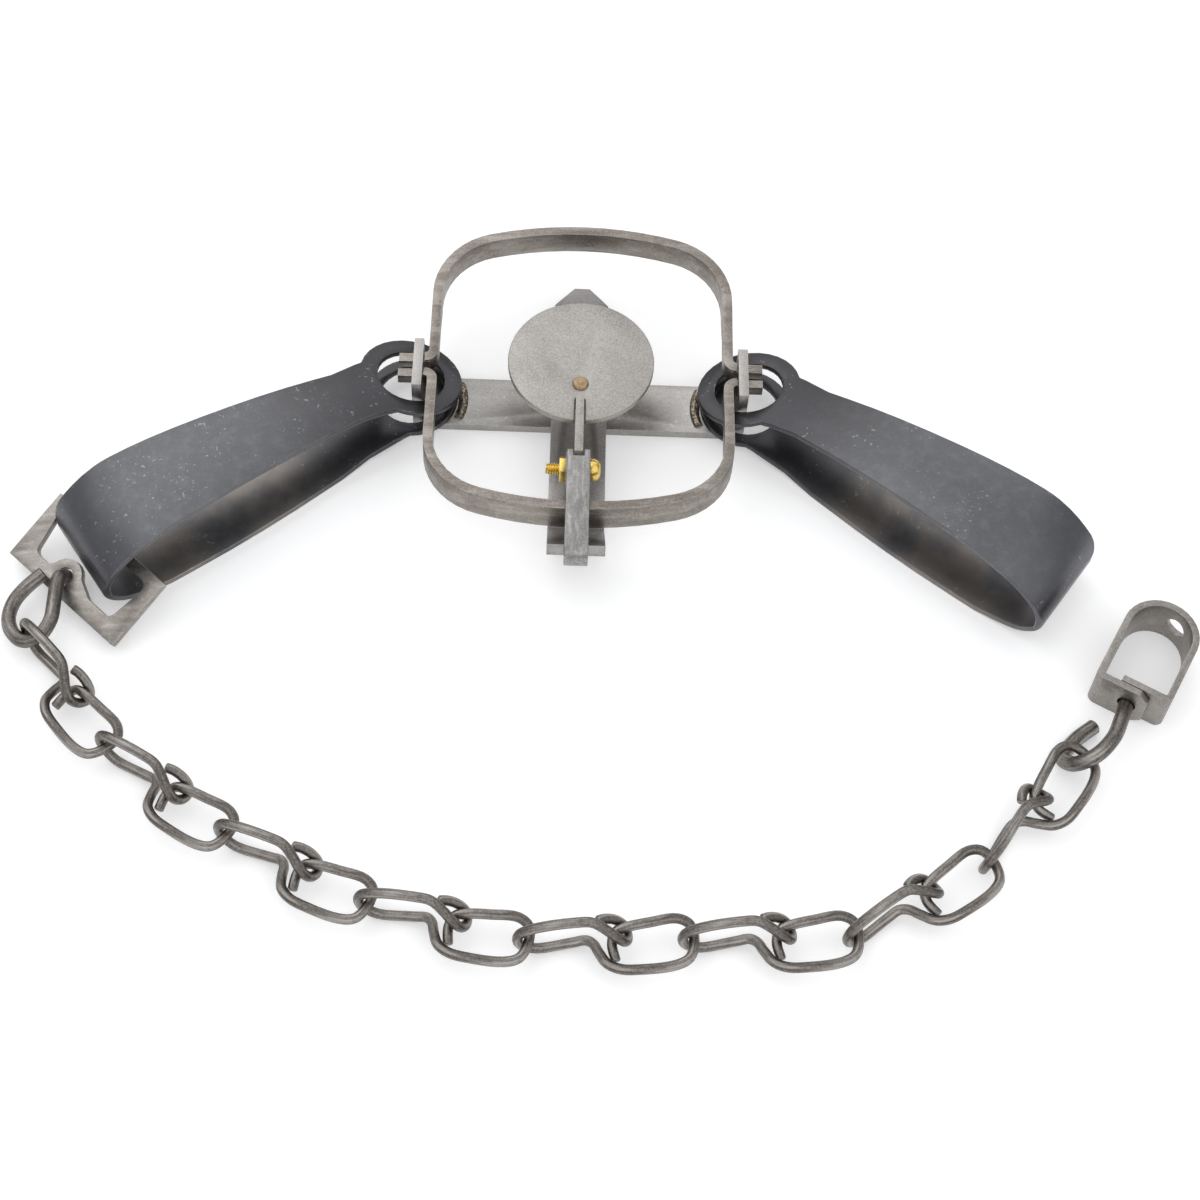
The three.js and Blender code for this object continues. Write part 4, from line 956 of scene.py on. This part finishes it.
# A studio dome, bright overhead and dim near the horizon
def world():
    scene_world = bpy.data.worlds.new("studio")
    scene_world.use_nodes = True
    bpy.context.scene.world = scene_world
    nodes = scene_world.node_tree.nodes
    links = scene_world.node_tree.links
    nodes.clear()
    direction = nodes.new("ShaderNodeTexCoord")
    parts = nodes.new("ShaderNodeSeparateXYZ")
    links.new(direction.outputs["Generated"], parts.inputs[0])
    level = nodes.new("ShaderNodeMapRange")
    level.interpolation_type = "SMOOTHSTEP"
    level.inputs["From Min"].default_value = HORIZON_HEIGHT_SHARE
    level.inputs["From Max"].default_value = OVERHEAD_HEIGHT_SHARE
    level.inputs["To Min"].default_value = HORIZON_STRENGTH
    level.inputs["To Max"].default_value = OVERHEAD_STRENGTH
    links.new(parts.outputs["Z"], level.inputs["Value"])
    dome = nodes.new("ShaderNodeBackground")
    dome.inputs["Color"].default_value = DOME_COLOUR
    links.new(level.outputs["Result"], dome.inputs["Strength"])
    output = nodes.new("ShaderNodeOutputWorld")
    links.new(dome.outputs[0], output.inputs["Surface"])


def lamp(name, place, aim, size, power):
    data = bpy.data.lights.new(name, "AREA")
    data.shape = "RECTANGLE"
    data.size, data.size_y = size
    data.energy = power
    lamp_object = bpy.data.objects.new(name, data)
    bpy.context.scene.collection.objects.link(lamp_object)
    lamp_object.location = place
    lamp_object.rotation_euler = (Vector(aim) - Vector(place)).to_track_quat("-Z", "Y").to_euler()


def camera():
    azimuth = radians(CAMERA_AZIMUTH_DEG)
    elevation = radians(CAMERA_ELEVATION_DEG)
    roll = radians(CAMERA_ROLL_DEG)
    back = Vector((
        -sin(azimuth) * cos(elevation),
        -cos(azimuth) * cos(elevation),
        sin(elevation),
    ))
    right = (-back).cross(Vector((0, 0, 1))).normalized()
    up = right.cross(-back)
    turned_right = right * cos(roll) + up * sin(roll)
    turned_up = up * cos(roll) - right * sin(roll)
    data = bpy.data.cameras.new("photo_camera")
    data.sensor_width = SENSOR_WIDTH_MM
    data.lens = SENSOR_WIDTH_MM * FOCAL_PX / PHOTO_WIDTH_PX
    data.shift_x = CENTRE_SHIFT_X_PX / PHOTO_WIDTH_PX
    data.shift_y = CENTRE_SHIFT_Y_PX / PHOTO_WIDTH_PX
    data.clip_start = CLIP_START
    piece = bpy.data.objects.new("photo_camera", data)
    bpy.context.scene.collection.objects.link(piece)
    axes = Matrix((turned_right, turned_up, back)).transposed().to_4x4()
    piece.matrix_world = Matrix.Translation(CAMERA_PLACE) @ axes
    bpy.context.scene.camera = piece


floor()
world()
for name, values in LAMPS.items():
    lamp(name, **values)
camera()
bpy.context.scene.view_settings.view_transform = "Standard"

bpy.context.view_layer.update()
